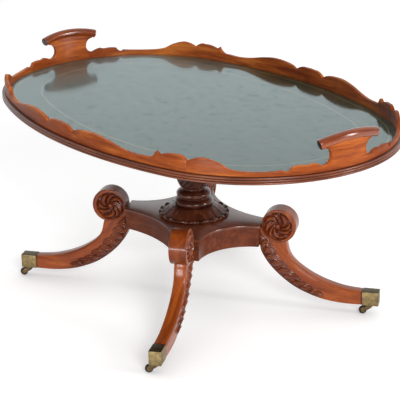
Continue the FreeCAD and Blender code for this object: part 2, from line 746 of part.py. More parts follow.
def platform_strokes(extra):
    corners = arm_points(extra)
    waists = [(0.0, size("side_waist") + extra), (-size("end_waist") - extra, 0.0),
              (0.0, -size("side_waist") - extra), (size("end_waist") + extra, 0.0)]
    strokes = []
    for arm in range(4):
        strokes.append([corners[2 * arm], corners[2 * arm + 1]])
        strokes.append([corners[2 * arm + 1], waists[arm], corners[(2 * arm + 2) % 8]])
    return strokes


def platform_plate(name, height, extra, thickness):
    body = new_body(name, lift(height, turn=size("stand_turn")))
    sketch = new_sketch(body, "plan")
    draw(sketch, platform_strokes(extra))
    pad(body, "plate", sketch, thickness)
    bore = new_sketch(body, "bore")
    draw_circle(bore, 0, 0, size("tenon_radius") + size("tenon_play"),
                "sizes.tenon_radius + sizes.tenon_play")
    pocket(body, "bore_cut", bore, thickness, reverse=True)
    return body


def mortise(body, name, side, angle):
    """Square hole in the end of an arm for the leg's tenon."""
    sketch = new_sketch(body, name, "XY_Plane", facing(angle, size("arm_radius"), side * size("leg_shift")))
    half = size("leg_tenon_width") / 2 + size("leg_tenon_play")
    middle, rise = size("platform_thickness") / 2, size("leg_tenon_height") / 2 + size("leg_tenon_play")
    draw_box(sketch, -half, middle - rise, half, middle + rise)
    pocket(body, name + "_cut", sketch, "sizes.leg_tenon_length + sizes.leg_tenon_play")


platform = platform_plate("platform", size("platform_height"), 0.0, "sizes.platform_thickness")
for name, (side, angle) in LEGS.items():
    mortise(platform, "mortise_" + name, side, angle)
platform_plate("platform_board", PLATFORM_TOP, size("platform_board_overhang"),
               "sizes.platform_board_thickness")


# Sabre legs, each headed by a scroll with a whorl rosette on both faces
def edge_points(start, end, shares):
    """Curve from start to end through shares of the run and of the fall left to go."""
    points = [start]
    for run, left in shares:
        points.append((start[0] + run * (end[0] - start[0]), end[1] + left * (start[1] - end[1])))
    return points + [end]


def leg_outline():
    root, heel = size("arm_radius"), size("toe_radius") - size("cap_length")
    low, high = size("platform_height"), PLATFORM_TOP
    spring = math.radians(LEG_SPRING_DEGREES)
    reach = SCROLL_REACH + SPRING_SHARE * size("scroll_radius") * math.cos(spring)
    height = COLLAR_FOOT + SPRING_SHARE * size("scroll_radius") * math.sin(spring)
    upper = edge_points((reach, height), (heel, size("toe_height") + size("cap_height")), UPPER_EDGE_SHARES)
    lower = edge_points((root, low), (heel, size("toe_height")), LOWER_EDGE_SHARES)
    return [
        [(root, low), (root, high)],
        [(root, high), (SCROLL_REACH, high)],
        [(SCROLL_REACH, high), (reach, height)],
        upper,
        [upper[-1], lower[-1]],
        lower[::-1],
    ]


def petal_point(share, degrees):
    radius = share * (size("scroll_radius") - size("scroll_rim"))
    return (radius * math.cos(math.radians(degrees)), radius * math.sin(math.radians(degrees)))


def rosette(body, face):
    """Sunk field with swirling petals round a pip; face is 1 for the near side, -1 for the far side."""
    half = size("scroll_width") / 2
    centre = (SCROLL_REACH, COLLAR_FOOT)
    floor = half - size("rosette_depth")
    field = new_sketch(body, f"field_{face + 1}", "XZ_Plane",
                       FreeCAD.Placement(V(*centre, face * half), FreeCAD.Rotation()))
    draw_circle(field, 0, 0, size("scroll_radius") - size("scroll_rim"),
                "sizes.scroll_radius - sizes.scroll_rim")
    pocket(body, f"field_cut_{face + 1}", field, "sizes.rosette_depth", reverse=face < 0)
    pip = new_sketch(body, f"pip_{face + 1}", "XZ_Plane",
                     FreeCAD.Placement(V(*centre, face * floor), FreeCAD.Rotation()))
    draw_facets(pip, 0, 0, size("pip_radius"), PIP_SIDES)
    pad(body, f"pip_pad_{face + 1}", pip, "sizes.rosette_depth", reverse=face < 0)
    petal = new_sketch(body, f"petal_{face + 1}", "XZ_Plane",
                       FreeCAD.Placement(V(*centre, face * floor), FreeCAD.Rotation()))
    root, tip = petal_point(PETAL_ROOT_SHARE, 0), petal_point(PETAL_TIP_SHARE, PETAL_TIP_DEGREES)
    front = [root] + [petal_point(*place) for place in PETAL_FRONT_SHARES] + [tip]
    back = [tip] + [petal_point(*place) for place in PETAL_BACK_SHARES] + [root]
    draw_polygon(petal, front + back[1:-1])
    first = pad(body, f"petal_pad_{face + 1}", petal, "sizes.rosette_rise", reverse=face < 0)
    ring = body.newObject("PartDesign::PolarPattern", f"{body.Name}_petals_{face + 1}")
    ring.Originals = [first]
    ring.Axis = (petal, ["N_Axis"])
    ring.Angle = 360
    ring.Occurrences = PETAL_COUNT
    body.Tip = ring


def leg_place(side, angle):
    """Upright axis where a pair of legs meets, with +X out along one of them."""
    meeting = lift(0, side * size("leg_shift"), turn=angle)
    return lift(0, turn=size("stand_turn")).multiply(meeting)


def leg(name, place):
    body = new_body("leg_" + name, place)
    side = new_sketch(body, "side", "XZ_Plane")
    draw(side, leg_outline())
    pad(body, "blade", side, "sizes.leg_thickness", symmetric=True)
    scroll = new_sketch(body, "scroll", "XZ_Plane")
    draw_circle(scroll, SCROLL_REACH, COLLAR_FOOT, size("scroll_radius"), "sizes.scroll_radius")
    pad(body, "drum", scroll, "sizes.scroll_width", symmetric=True)
    heel = size("toe_radius") - size("cap_length")
    gap = size("cap_wall") + size("cap_play")
    toe = new_sketch(body, "toe", "XZ_Plane")
    draw_box(toe, heel - size("overrun"), size("toe_height") + gap,
             size("toe_radius") - gap, size("toe_height") + size("cap_height") - gap)
    pad(body, "tenon", toe, "sizes.leg_thickness - 2 * sizes.cap_wall - 2 * sizes.cap_play", symmetric=True)
    root, middle = size("arm_radius"), size("platform_height") + size("platform_thickness") / 2
    joint = new_sketch(body, "joint", "XZ_Plane")
    draw_box(joint, root - size("leg_tenon_length"), middle - size("leg_tenon_height") / 2,
             root + size("overrun"), middle + size("leg_tenon_height") / 2)
    pad(body, "joint_tenon", joint, "sizes.leg_tenon_width", symmetric=True)
    pivot_hole(body, "sizes.pivot_length")
    for face in (1, -1):
        rosette(body, face)


def pivot_hole(body, depth):
    sketch = new_sketch(body, "pivot", "XY_Plane", lift(size("toe_height")))
    draw_circle(sketch, PIVOT_REACH, 0, size("pivot_radius") + size("pivot_play"),
                "sizes.pivot_radius + sizes.pivot_play")
    pocket(body, "pivot_cut", sketch, depth, reverse=True)


# Brass toe caps: square boxes open towards the leg
def toe_cap(name, place):
    body = new_body("toe_cap_" + name, place)
    plan = new_sketch(body, "plan", "XY_Plane", lift(size("toe_height")))
    heel, half = size("toe_radius") - size("cap_length"), size("leg_thickness") / 2
    draw_box(plan, heel, -half, size("toe_radius"), half)
    pad(body, "box", plan, "sizes.cap_height")
    hollow = new_sketch(body, "hollow", "XY_Plane", facing(180, -heel))
    wall = size("cap_wall")
    draw_box(hollow, wall - half, size("toe_height") + wall, half - wall,
             size("toe_height") + size("cap_height") - wall)
    pocket(body, "hollow_cut", hollow, "sizes.cap_length - sizes.cap_wall")
    pivot_hole(body, "sizes.cap_wall + sizes.cap_play")


# Castors: a horn with a pivot pin and two cheeks, an axle and a wheel
def castor(name, leg_axis):
    spot = leg_axis.multVec(V(PIVOT_REACH, 0, 0))
    place = lift(0, spot.x, spot.y, size("castor_turn"))
    plate_top = size("toe_height") - size("plate_gap")
    plate_foot = plate_top - size("plate_thickness")
    body = new_body("castor_" + name, place)
    disc = new_sketch(body, "disc", "XY_Plane", lift(plate_foot))
    draw_facets(disc, 0, 0, size("plate_radius"), PLATE_SIDES)
    pad(body, "plate", disc, "sizes.plate_thickness")
    pin = new_sketch(body, "pin", "XY_Plane", lift(plate_top))
    draw_circle(pin, 0, 0, size("pivot_radius"), "sizes.pivot_radius")
    pad(body, "pivot", pin, "sizes.pivot_length - sizes.plate_gap")
    cheeks = new_sketch(body, "cheeks", "XZ_Plane")
    draw_polygon(cheeks, horn_outline(plate_foot))
    pad(body, "horn", cheeks, "sizes.wheel_width + 2 * sizes.wheel_play + 2 * sizes.cheek", symmetric=True)
    slot = new_sketch(body, "slot", "XZ_Plane")
    reach = size("wheel_radius") + size("wheel_gap")
    draw_box(slot, size("trail") - reach, size("wheel_radius") - reach, size("trail") + reach,
             size("wheel_radius") + reach)
    pocket(body, "slot_cut", slot, "sizes.wheel_width + 2 * sizes.wheel_play", symmetric=True)
    eye = new_sketch(body, "eye", "XZ_Plane")
    hole = (size("axle_radius") + size("axle_play")) / math.cos(math.pi / EYE_SIDES)
    draw_facets(eye, size("trail"), size("wheel_radius"), hole, EYE_SIDES)
    pocket(body, "eye_cut", eye, "sizes.tray_length", symmetric=True)
    castor_axle(name, place)
    castor_wheel(name, place)


def horn_outline(plate_foot):
    eye = (size("trail"), size("wheel_radius"))
    radius, plate = size("eye_radius"), size("plate_radius")
    level = plate_foot + size("plate_thickness") / 2
    around = []
    for degrees in EYE_DEGREES:
        a = math.radians(degrees)
        around.append((eye[0] + radius * math.cos(a), eye[1] + radius * math.sin(a)))
    back, front = (-HORN_BACK_SHARE * plate, level), (plate, level)
    inside = (HORN_INSIDE_SHARES[0] * eye[0], eye[1] + HORN_INSIDE_SHARES[1] * (level - eye[1]))
    outside = (HORN_OUTSIDE_SHARES[0] * eye[0], eye[1] + HORN_OUTSIDE_SHARES[1] * (level - eye[1]))
    return [front, back, inside] + around + [outside]


def castor_axle(name, place):
    axle = doc.addObject("Part::Cylinder", "axle_" + name)
    axle.Label = axle.Name
    axle.setExpression("Radius", "sizes.axle_radius")
    axle.setExpression("Height", "sizes.wheel_width + 2 * (sizes.wheel_play + sizes.cheek + sizes.axle_head)")
    half = size("wheel_width") / 2 + size("wheel_play") + size("cheek") + size("axle_head")
    across = FreeCAD.Rotation(UP, V(0, 1, 0))
    axle.Placement = place.multiply(FreeCAD.Placement(V(size("trail"), -half, size("wheel_radius")), across))
    nodes.append(axle)


def castor_wheel(name, place):
    body = new_body("wheel_" + name, place)
    half, rim = size("wheel_width") / 2, size("wheel_radius")
    bore = size("axle_radius") + size("axle_play")
    profile = new_sketch(body, "profile", "XY_Plane", lift(rim, size("trail")))
    draw_box(profile, bore, -half, rim, half)
    revolve(body, "Revolution", "turning", profile)


for name, (side, angle) in LEGS.items():
    place = leg_place(side, angle)
    leg(name, place)
    toe_cap(name, place)
    castor(name, place)

# Every piece is checked, then written under its own name
doc.recompute()
for made in doc.Objects:
    if "Invalid" in made.State or "Error" in made.State:
        raise ValueError(f"{made.Name} has state {made.State}")
for node in nodes:
    if node.Shape.isNull() or not node.Shape.isValid():
        raise ValueError(f"{node.Label} has no valid shape")
os.makedirs("parts", exist_ok=True)
for node in nodes:
    node.Shape.exportStep(f"parts/{node.Label}.step")
print(len(nodes), "pieces")
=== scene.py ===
import bpy
import bmesh
import math
from mathutils import Matrix, Vector


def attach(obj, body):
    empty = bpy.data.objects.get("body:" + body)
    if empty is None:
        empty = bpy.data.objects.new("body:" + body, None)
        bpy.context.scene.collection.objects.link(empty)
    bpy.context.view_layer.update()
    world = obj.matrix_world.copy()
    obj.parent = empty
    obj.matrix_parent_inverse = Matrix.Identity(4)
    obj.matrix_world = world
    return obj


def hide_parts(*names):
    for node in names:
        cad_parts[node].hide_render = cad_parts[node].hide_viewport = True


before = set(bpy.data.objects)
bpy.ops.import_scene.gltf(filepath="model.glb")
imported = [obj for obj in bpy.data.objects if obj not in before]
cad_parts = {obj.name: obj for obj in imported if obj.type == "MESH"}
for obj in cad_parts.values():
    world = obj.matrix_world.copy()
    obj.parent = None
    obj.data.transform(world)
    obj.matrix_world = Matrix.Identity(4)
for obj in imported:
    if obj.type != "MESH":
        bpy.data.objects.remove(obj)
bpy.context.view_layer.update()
scene = bpy.context.scene
MM = 0.001

# Platform of the stand: four spreading arms with hollow sides, sawn from thick mahogany, and a
# thin board with a rounded edge glued on top. Both are French polished.
STAND_TURN = math.radians(-4.9)
LEG_SHIFT = 36
LEGS = {"right_back": (1, 45), "left_back": (-1, 135), "left_front": (-1, 225), "right_front": (1, 315)}
ARM_RADIUS = 143.5
ARM_HALF_WIDTH = 28.5
WAISTS = [(0, 93), (-123, 0), (0, -93), (123, 0)]
PLATFORM_FOOT = 155
PLATFORM_TOP = 201
BOARD_TOP = 208
BOARD_OVERHANG = 3
STREAKS, PORES = (7, 55, 55), (60, 1400, 1400)


def link(tree, start, end):
    """Join an output to an input."""
    tree.links.new(start, end)


def add_node(tree, kind, **values):
    """New shader node with some of its inputs or settings filled in."""
    node = tree.nodes.new("ShaderNode" + kind)
    for key, value in values.items():
        if hasattr(node, key):
            setattr(node, key, value)
        else:
            node.inputs[key.replace("_", " ")].default_value = value
    return node


def feed(tree, socket, value):
    """Link an input to another node's output, or give it a plain value."""
    if isinstance(value, bpy.types.NodeSocket):
        link(tree, value, socket)
    else:
        socket.default_value = value


def ramp(tree, source, stops):
    """Colour ramp from places to colours, fed by a socket."""
    node = tree.nodes.new("ShaderNodeValToRGB")
    while len(node.color_ramp.elements) < len(stops):
        node.color_ramp.elements.new(0.5)
    for element, (place, colour) in zip(node.color_ramp.elements, stops):
        element.position = place
        element.color = (*colour, 1)
    link(tree, source, node.inputs["Fac"])
    return node.outputs["Color"]


def new_material(name):
    """New material, with its node tree and its main shader."""
    made = bpy.data.materials.new(name)
    made.use_nodes = True
    return made, made.node_tree, made.node_tree.nodes["Principled BSDF"]


def coordinates(tree, attribute, scale):
    """Object coordinates, or a piece's own grain coordinates, stretched by a scale."""
    if attribute:
        source = add_node(tree, "Attribute", attribute_name=attribute).outputs["Vector"]
    else:
        source = add_node(tree, "TexCoord").outputs["Object"]
    mapping = add_node(tree, "Mapping")
    mapping.inputs["Scale"].default_value = scale
    link(tree, source, mapping.inputs["Vector"])
    return mapping.outputs["Vector"]


def noise(tree, scale, attribute=None, **settings):
    """Soft noise on Object coordinates, or on a piece's own grain coordinates."""
    node = add_node(tree, "TexNoise", Scale=1.0, **settings)
    link(tree, coordinates(tree, attribute, scale), node.inputs["Vector"])
    return node.outputs["Fac"]


def mix_colours(tree, share, first, second, blend="MIX"):
    """Colour made from two by a share."""
    node = add_node(tree, "Mix", data_type="RGBA", blend_type=blend)
    for index, value in ((0, share), (6, first), (7, second)):
        feed(tree, node.inputs[index], value)
    return node.outputs[2]


def roughen(tree, height, strength, distance):
    """Normal of a surface with small bumps."""
    bump = add_node(tree, "Bump", Strength=strength, Distance=distance)
    link(tree, height, bump.inputs["Height"])
    return bump.outputs["Normal"]


def wood(name, colours, attribute=None, roughness=0.3, coat=0.6, shine=0.14, aged=None):
    """Polished mahogany: long streaks, fine dark pores, a coat of polish, and a tint by a per-point amount:
    painted shade on the legs and rim, painted light on the gallery, dark end grain on the grips.
    """
    made, tree, shader = new_material(name)
    streaks = noise(tree, STREAKS, attribute, Detail=5.0, Roughness=0.6, Distortion=0.6)
    colour = ramp(tree, streaks, list(zip((0.28, 0.5, 0.74), colours)))
    pores = noise(tree, PORES, attribute, Detail=2.0, Roughness=0.5)
    shade = ramp(tree, pores, [(0.36, (0.62, 0.55, 0.5)), (0.5, (1, 1, 1))])
    colour = mix_colours(tree, 0.7, colour, shade, "MULTIPLY")
    # The per-point tint paints shade on the legs and rim, paints light on the gallery, and darkens the grips'
    # end grain.
    if aged:
        depth = add_node(tree, "Attribute", attribute_name="painted_light_and_end_grain").outputs["Fac"]
        colour = mix_colours(tree, depth, colour, (*aged, 1), "MULTIPLY")
    link(tree, colour, shader.inputs["Base Color"])
    link(tree, roughen(tree, pores, 0.04, 0.0004), shader.inputs["Normal"])
    shader.inputs["Roughness"].default_value = roughness
    shader.inputs["Specular IOR Level"].default_value = shine
    shader.inputs["Coat Weight"].default_value = coat
    shader.inputs["Coat Roughness"].default_value = 0.16
    return made


def take_skin(shape):
    """Vertices and faces of a bmesh, which is freed."""
    shape.verts.index_update()
    skin = [tuple(v.co) for v in shape.verts], [tuple(v.index for v in f.verts) for f in shape.faces]
    shape.free()
    return skin


def loft(sections, ring=False):
    """Skin over sections of points: a grid welded to a tube, its two ends filled or joined in a ring."""
    rows, columns = len(sections), len(sections[0])
    shape = bmesh.new()
    grid = bmesh.ops.create_grid(shape, x_segments=columns, y_segments=rows if ring else rows - 1)["verts"]
    seam = {}
    for index, vertex in enumerate(grid):
        row, column = index // (columns + 1) % rows, index % (columns + 1) % columns
        vertex.co = sections[row][column]
        first = grid[row * (columns + 1) + column]
        if first != vertex:
            seam[vertex] = first
    bmesh.ops.weld_verts(shape, targetmap=seam)
    if not ring:
        shape.faces.new(grid[:columns])
        shape.faces.new(grid[-columns - 1:-1])
    return take_skin(shape)


def join_shells(shells):
    """One list of vertices and faces from several."""
    vertices, faces = [], []
    for points, polygons in shells:
        start = len(vertices)
        vertices += points
        faces += [tuple(start + index for index in polygon) for polygon in polygons]
    return vertices, faces


def make_piece(name, skin, material, body, nodes, slot, grain=None, painted_light_and_end_grain=None, sharp=35, turn=0.0,
               shift=(0, 0, 0)):
    """Object from vertices in millimetres, turned about Z and shifted, that stands for CAD nodes."""
    vertices, faces = skin
    place = Matrix.Translation(Vector(shift) * MM) @ Matrix.Rotation(turn, 4, "Z")
    mesh = bpy.data.meshes.new(name)
    mesh.from_pydata([place @ (Vector(v) * MM) for v in vertices], [], faces)
    shape = bmesh.new()
    shape.from_mesh(mesh)
    bmesh.ops.recalc_face_normals(shape, faces=shape.faces)
    shape.to_mesh(mesh)
    shape.free()
    mesh.shade_smooth()
    mesh.set_sharp_from_angle(angle=math.radians(sharp))
    if grain:
        layer = mesh.attributes.new("grain", "FLOAT_VECTOR", "POINT")
        layer.data.foreach_set("vector", [MM * value for point in grain for value in point])
    # Per-point tint amount: painted shade, painted light or dark end grain, depending on the piece.
    if painted_light_and_end_grain:
        layer = mesh.attributes.new("painted_light_and_end_grain", "FLOAT", "POINT")
        layer.data.foreach_set("value", painted_light_and_end_grain)
    mesh.materials.append(material)
    made = bpy.data.objects.new(name, mesh)
    scene.collection.objects.link(made)
    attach(made, body)
    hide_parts(*nodes)
    return made


def arc_through(start, middle, end, count):
    """Points of the arc through three points, both ends included."""
    (ax, ay), (bx, by), (cx, cy) = start, middle, end
    d = 2 * (ax * (by - cy) + bx * (cy - ay) + cx * (ay - by))
    a2, b2, c2 = ax * ax + ay * ay, bx * bx + by * by, cx * cx + cy * cy
    ux = (a2 * (by - cy) + b2 * (cy - ay) + c2 * (ay - by)) / d
    uy = (a2 * (cx - bx) + b2 * (ax - cx) + c2 * (bx - ax)) / d
    radius = math.hypot(ax - ux, ay - uy)
    first = math.atan2(ay - uy, ax - ux)
    whole = (math.atan2(cy - uy, cx - ux) - first) % math.tau
    if (math.atan2(by - uy, bx - ux) - first) % math.tau > whole:
        whole -= math.tau
    angles = [first + whole * i / count for i in range(count + 1)]
    return [(ux + radius * math.cos(a), uy + radius * math.sin(a)) for a in angles]


def platform_outline(extra):
    """Corners and hollow sides of the platform, grown by an overhang."""
    corners = []
    for side, degrees in LEGS.values():
        a = math.radians(degrees)
        reach, half = ARM_RADIUS + extra, ARM_HALF_WIDTH + extra
        for hand in (-1, 1):
            x = side * LEG_SHIFT + reach * math.cos(a) - hand * half * math.sin(a)
            corners.append((x, reach * math.sin(a) + hand * half * math.cos(a)))
    points = []
    for arm in range(4):
        x, y = WAISTS[arm]
        waist = (x + math.copysign(extra, x) * (x != 0), y + math.copysign(extra, y) * (y != 0))
        points += [corners[2 * arm]]
        points += arc_through(corners[2 * arm + 1], waist, corners[(2 * arm + 2) % 8], 40)[:-1]
    return points


def plate_sections(levels):
    """Sections of a plate from pairs of height and overhang."""
    return [[(x, y, z) for x, y in platform_outline(extra)] for z, extra in levels]


MAHOGANY_DARK = [(0.065, 0.015, 0.007), (0.125, 0.029, 0.011), (0.19, 0.050, 0.018)]
platform_wood = wood("platform mahogany", MAHOGANY_DARK, roughness=0.4, coat=0.06)
board_wood = wood("board mahogany", MAHOGANY_DARK, roughness=0.34, coat=0.4, shine=0.4)
body_levels = [(PLATFORM_FOOT, -1.2), (PLATFORM_FOOT + 1.2, 0), (PLATFORM_TOP, 0)]
make_piece("platform_body", loft(plate_sections(body_levels)), platform_wood, "stand", ["platform"],
           "mahogany", turn=STAND_TURN)
board_levels = [
    (PLATFORM_TOP, 0.6), (PLATFORM_TOP + 1.2, BOARD_OVERHANG - 0.5), (PLATFORM_TOP + 2.6, BOARD_OVERHANG),
    (BOARD_TOP - 2.2, BOARD_OVERHANG), (BOARD_TOP - 0.6, BOARD_OVERHANG - 0.8),
    (BOARD_TOP, BOARD_OVERHANG - 2.4),
]
make_piece("platform_top", loft(plate_sections(board_levels)), board_wood, "stand", ["platform_board"],
           "mahogany", turn=STAND_TURN)

# Sabre legs: each is carved from one mahogany plank, tenoned into an arm of the platform. The head
# is a rolled scroll with a whorl rosette of eight swirling petals on both faces, and an acanthus
# leaf in relief runs down the lower half of the sides.
LEG_HALF = 14.0
LEG_CORNER = 3.0
SCROLL_CENTRE = (189, 208)
SCROLL_RADIUS = 41.0
SCROLL_HALF = 21.0
ROSETTE_SHIFT = (-3.0, -1.5)
ROSETTE_RADIUS = 33.0
ROSETTE_DEPTH = 7.0
PETALS, PETAL_SWIRL, PETAL_RISE = 8, 1.5, 6.6
PIP_REACH = 0.17
# Painted shade on the scroll's barrel.
BARREL_PAINTED_SHADE = 0.32
# Tint that paints shade into the leg carving and into the rim's grooves.
PAINTED_SHADE_TINT = (0.26, 0.20, 0.5)
LEAF_BOW, LEAF_RISE, LEAF_GAP, RIB_PITCH = 6.0, 5.2, 4.0, 4.6
GROUND_SINK, FAN_RISE, LINE_SINK = 1.8, 1.3, 1.1
LEAVES = [
    (10, 34, 31, 9.0), (33, 36, 33, 10.5), (52, 38, 28, 9.0), (74, 40, 31, 10.5), (99, 36, 25, 9.0),
    (117, 40, 26, 9.5), (144, 36, 20, 8.5), (164, 36, 17, 8.0), (186, 36, 12, 6.5),
]
STATIONS = [
    ((143.5, 155), (143.5, 201)), ((145.5, 142), (172, 201)), ((151.5, 128.8), (198, 186)),
    ((163.5, 110.5), (206, 162)), ((179.2, 92.8), (213, 136)), ((201, 73.5), (228.5, 115)),
    ((228, 55), (257, 94)), ((259, 41), (285, 79.5)), ((293, 30.5), (312, 69.5)),
    ((337, 24.5), (346, 61)), ((386.5, 24.2), (386.5, 57)),
]


def leg_place(name):
    """Turn of a leg, and the place where its pair would meet."""
    side, degrees = LEGS[name]
    shift = (side * LEG_SHIFT * math.cos(STAND_TURN), side * LEG_SHIFT * math.sin(STAND_TURN), 0)
    return {"turn": math.radians(degrees) + STAND_TURN, "shift": shift}


def smooth(low, high, value):
    """Soft step from 0 to 1."""
    place = min(max((value - low) / (high - low), 0.0), 1.0)
    return place * place * (3 - 2 * place)


def spline(points, count):
    """Smooth curve through points of any dimension, both ends included."""
    out = []
    last = len(points) - 1
    for i in range(count + 1):
        place = last * i / count
        k = min(int(place), last - 1)
        f = place - k
        a, b, c, d = points[max(k - 1, 0)], points[k], points[k + 1], points[min(k + 2, last)]
        out.append(tuple(0.5 * (2 * q + (r - p) * f + (2 * p - 5 * q + 4 * r - s) * f * f
                                + (3 * q - p - 3 * r + s) * f ** 3) for p, q, r, s in zip(a, b, c, d)))
    return out


def leaf(along, up, root, length, rise, width):
    """Height of one leaf of the acanthus, from 0 to 1, at a place on the side of the leg."""
    x, y = along - root, up - 1.0
    whole = math.hypot(length, rise)
    a = (x * length + y * rise) / whole ** 2
    b = (y * length - x * rise) / whole - LEAF_BOW * math.sin(math.pi * min(max(a, 0), 1))
    half = width * math.sqrt(max(0.0, 1 - (2 * a - 1) ** 2)) * (0.75 + 0.25 * a)
    if abs(b) >= half:
        return 0.0
    crown = math.sqrt(1 - (b / half) ** 2)
    ribs = 0.24 * math.cos(math.tau * (b + 0.12 * x) / RIB_PITCH)
    ends = smooth(0.0, 0.14, a) * smooth(1.0, 0.84, a)
    return ends * crown * (0.45 + 0.35 * a + 0.12 * b / half + ribs)


def leg_relief(along, up, tall):
    """Carving above or below the flat side of the leg, in millimetres, and how much painted shade it gets."""
    height = max(leaf(along, up, *sizes) for sizes in LEAVES)
    grown = sorted(leaf(along, up, *sizes[:3], sizes[3] + LEAF_GAP) for sizes in LEAVES)
    spread = up / tall / (1 - 0.0058 * min(along, 100))
    fan = smooth(0.72, 0.60, spread) * smooth(90, 40, along)
    stem = smooth(0.30, 0.16, up / tall) * smooth(20, 50, along) * smooth(234, 200, along)
    ground = max(smooth(0.0, 0.3, grown[-2]), stem)
    clear = 1 - smooth(0.0, 0.25, height)
    flutes = math.cos(math.tau * spread / 0.12)
    line = smooth(5.6, 4.4, tall - up) * smooth(2.6, 3.8, tall - up)
    relief = LEAF_RISE * height - GROUND_SINK * ground * clear + FAN_RISE * flutes * fan * clear
    # Painted shade: dark in the sunk ground between the leaves and along the lower edge, in the flute
    # valleys, and on the leaves away from their crowns.
    leafy = smooth(0.0, 0.2, height) * (0.85 - 0.45 * smooth(0.40, 0.80, height))
    shade = max(0.95 * ground * clear, leafy, fan * clear * (0.56 - 0.38 * flutes))
    return relief - LINE_SINK * line, shade


def leg_blade():
    """The curved blade of the leg as a skin, with its grain coordinates and painted shade."""
    rows, across = 230, 56
    pairs = spline([(*low, *high) for low, high in STATIONS], rows)
    run = [0.0]
    for p, q in zip(pairs, pairs[1:]):
        run.append(run[-1] + math.dist(p, q) / math.sqrt(2))
    sections, grain, painted_shades = [], [], []
    for (x0, z0, x1, z1), along in zip(pairs, run):
        tall = math.hypot(x1 - x0, z1 - z0)
        side, darkening = [], []
        for j in range(across + 1):
            up = tall * j / across
            near = min(up, tall - up)
            reach = LEG_CORNER - min(near, LEG_CORNER)
            corner = LEG_CORNER - math.sqrt(max(0.0, LEG_CORNER ** 2 - reach ** 2))
            relief, shade = leg_relief(along, up, tall)
            side.append((up / tall, LEG_HALF - corner + relief * smooth(0.0, LEG_CORNER, near)))
            # Painted shade from the carving, and darker over the last few millimetres before the toe cap.
            darkening.append(max(shade, smooth(run[-1] - 4.0, run[-1] - 1.0, along)))
        painted_shades += darkening + darkening[::-1]
        loop = side + [(share, -y) for share, y in reversed(side)]
        sections.append([(x0 + share * (x1 - x0), y, z0 + share * (z1 - z0)) for share, y in loop])
        grain += [(along, y, share * tall) for share, y in loop]
    return loft(sections), grain, painted_shades


def rosette_height(x, z):
    """Carving of the scroll's face at a place from the scroll's centre, in millimetres."""
    dx, dz = x - ROSETTE_SHIFT[0], z - ROSETTE_SHIFT[1]
    reach = math.hypot(dx, dz) / ROSETTE_RADIUS
    angle = math.atan2(dz, dx)
    rim = -1.0 - 0.8 * math.cos(angle - 2.6) - 1.3 * smooth(0.90, 1.0, math.hypot(x, z) / SCROLL_RADIUS)
    if reach >= 1.06:
        return rim
    turn = (angle - PETAL_SWIRL * reach + 0.14 * math.sin(3 * angle + 1)) / math.tau * PETALS
    place = turn - math.floor(turn)
    crown = math.sin(math.pi * place ** 1.7) ** 0.8
    groove = 0.22 * math.exp(-((place - 0.5) / 0.10) ** 2)
    tip = 0.93 + 0.07 * math.sin(math.pi * place)
    petal = (crown - groove) * smooth(0.10, 0.40, reach) * smooth(tip + 0.05, tip - 0.16, reach)
    pip = math.sqrt(max(0.0, 1 - (reach / PIP_REACH) ** 2))
    field = -ROSETTE_DEPTH + PETAL_RISE * max(petal * (0.66 + 0.5 * reach), 0.95 * pip)
    return field + (rim - field) * smooth(1.0, 1.06, reach)


def rosette_painted_shade(x, z, depth):
    """Painted shade on the scroll's face, darker where it is carved deeper: least on the outer crescent and
    the pip, with a set amount on the barrel's edge.
    """
    dx, dz = x - ROSETTE_SHIFT[0], z - ROSETTE_SHIFT[1]
    reach = math.hypot(dx, dz) / ROSETTE_RADIUS
    field = 0.30 + 0.62 * smooth(0.5, 5.0, depth)
    band = 0.26 - 0.24 * math.cos(math.atan2(dz, dx) - 0.2)
    darkening = field + (band - field) * smooth(0.96, 1.05, reach)
    edge = smooth(0.985, 1.0, math.hypot(x, z) / SCROLL_RADIUS)
    return darkening * smooth(0.10, 0.20, reach) * (1 - edge) + BARREL_PAINTED_SHADE * edge


def scroll_drum():
    """The rolled scroll as rings from one face round the barrel to the other, with grain and painted shade.
    """
    turns, rings = 160, 44
    sections, grain, painted_shades = [], [], []
    for face in (1, -1):
        shares = [0.012 + 0.988 * i / rings for i in range(rings + 1)]
        for share in shares if face == 1 else reversed(shares):
            ring = []
            for k in range(turns):
                a = math.tau * k / turns
                x, z = SCROLL_RADIUS * share * math.cos(a), SCROLL_RADIUS * share * math.sin(a)
                height = rosette_height(x, z)
                ring.append((SCROLL_CENTRE[0] + x, face * (SCROLL_HALF + height), SCROLL_CENTRE[1] + z))
                painted_shades.append(rosette_painted_shade(x, z, -height))
            sections.append(ring)
            grain += [(-p[2] * 0.9, p[1], p[0]) for p in ring]
    return loft(sections), grain, painted_shades


leg_wood = wood("leg mahogany", [(0.13, 0.022, 0.004), (0.27, 0.053, 0.008), (0.39, 0.095, 0.014)], "grain",
                roughness=0.33, coat=0.4, aged=PAINTED_SHADE_TINT)
blade, blade_grain, blade_painted_shade = leg_blade()
drum, drum_grain, drum_painted_shade = scroll_drum()
leg_skin = join_shells([blade, drum])
for name in LEGS:
    make_piece("carved_leg_" + name, leg_skin, leg_wood, "stand", ["leg_" + name], "mahogany",
               grain=blade_grain + drum_grain, painted_light_and_end_grain=blade_painted_shade + drum_painted_shade, sharp=60, **leg_place(name))

# Toe caps: square boxes of cast brass with filed edges, gone dull, and darker on faces that point up.
# Each is pushed over the end of a leg and takes the castor's pivot pin from below.
CAP_HEEL, CAP_TOE = 386.5, 425.5
CAP_FOOT, CAP_TOP = 24, 57
CAP_HALF = 14.0
TOP_DARKENING = (0.42, 0.46, 0.55, 1)


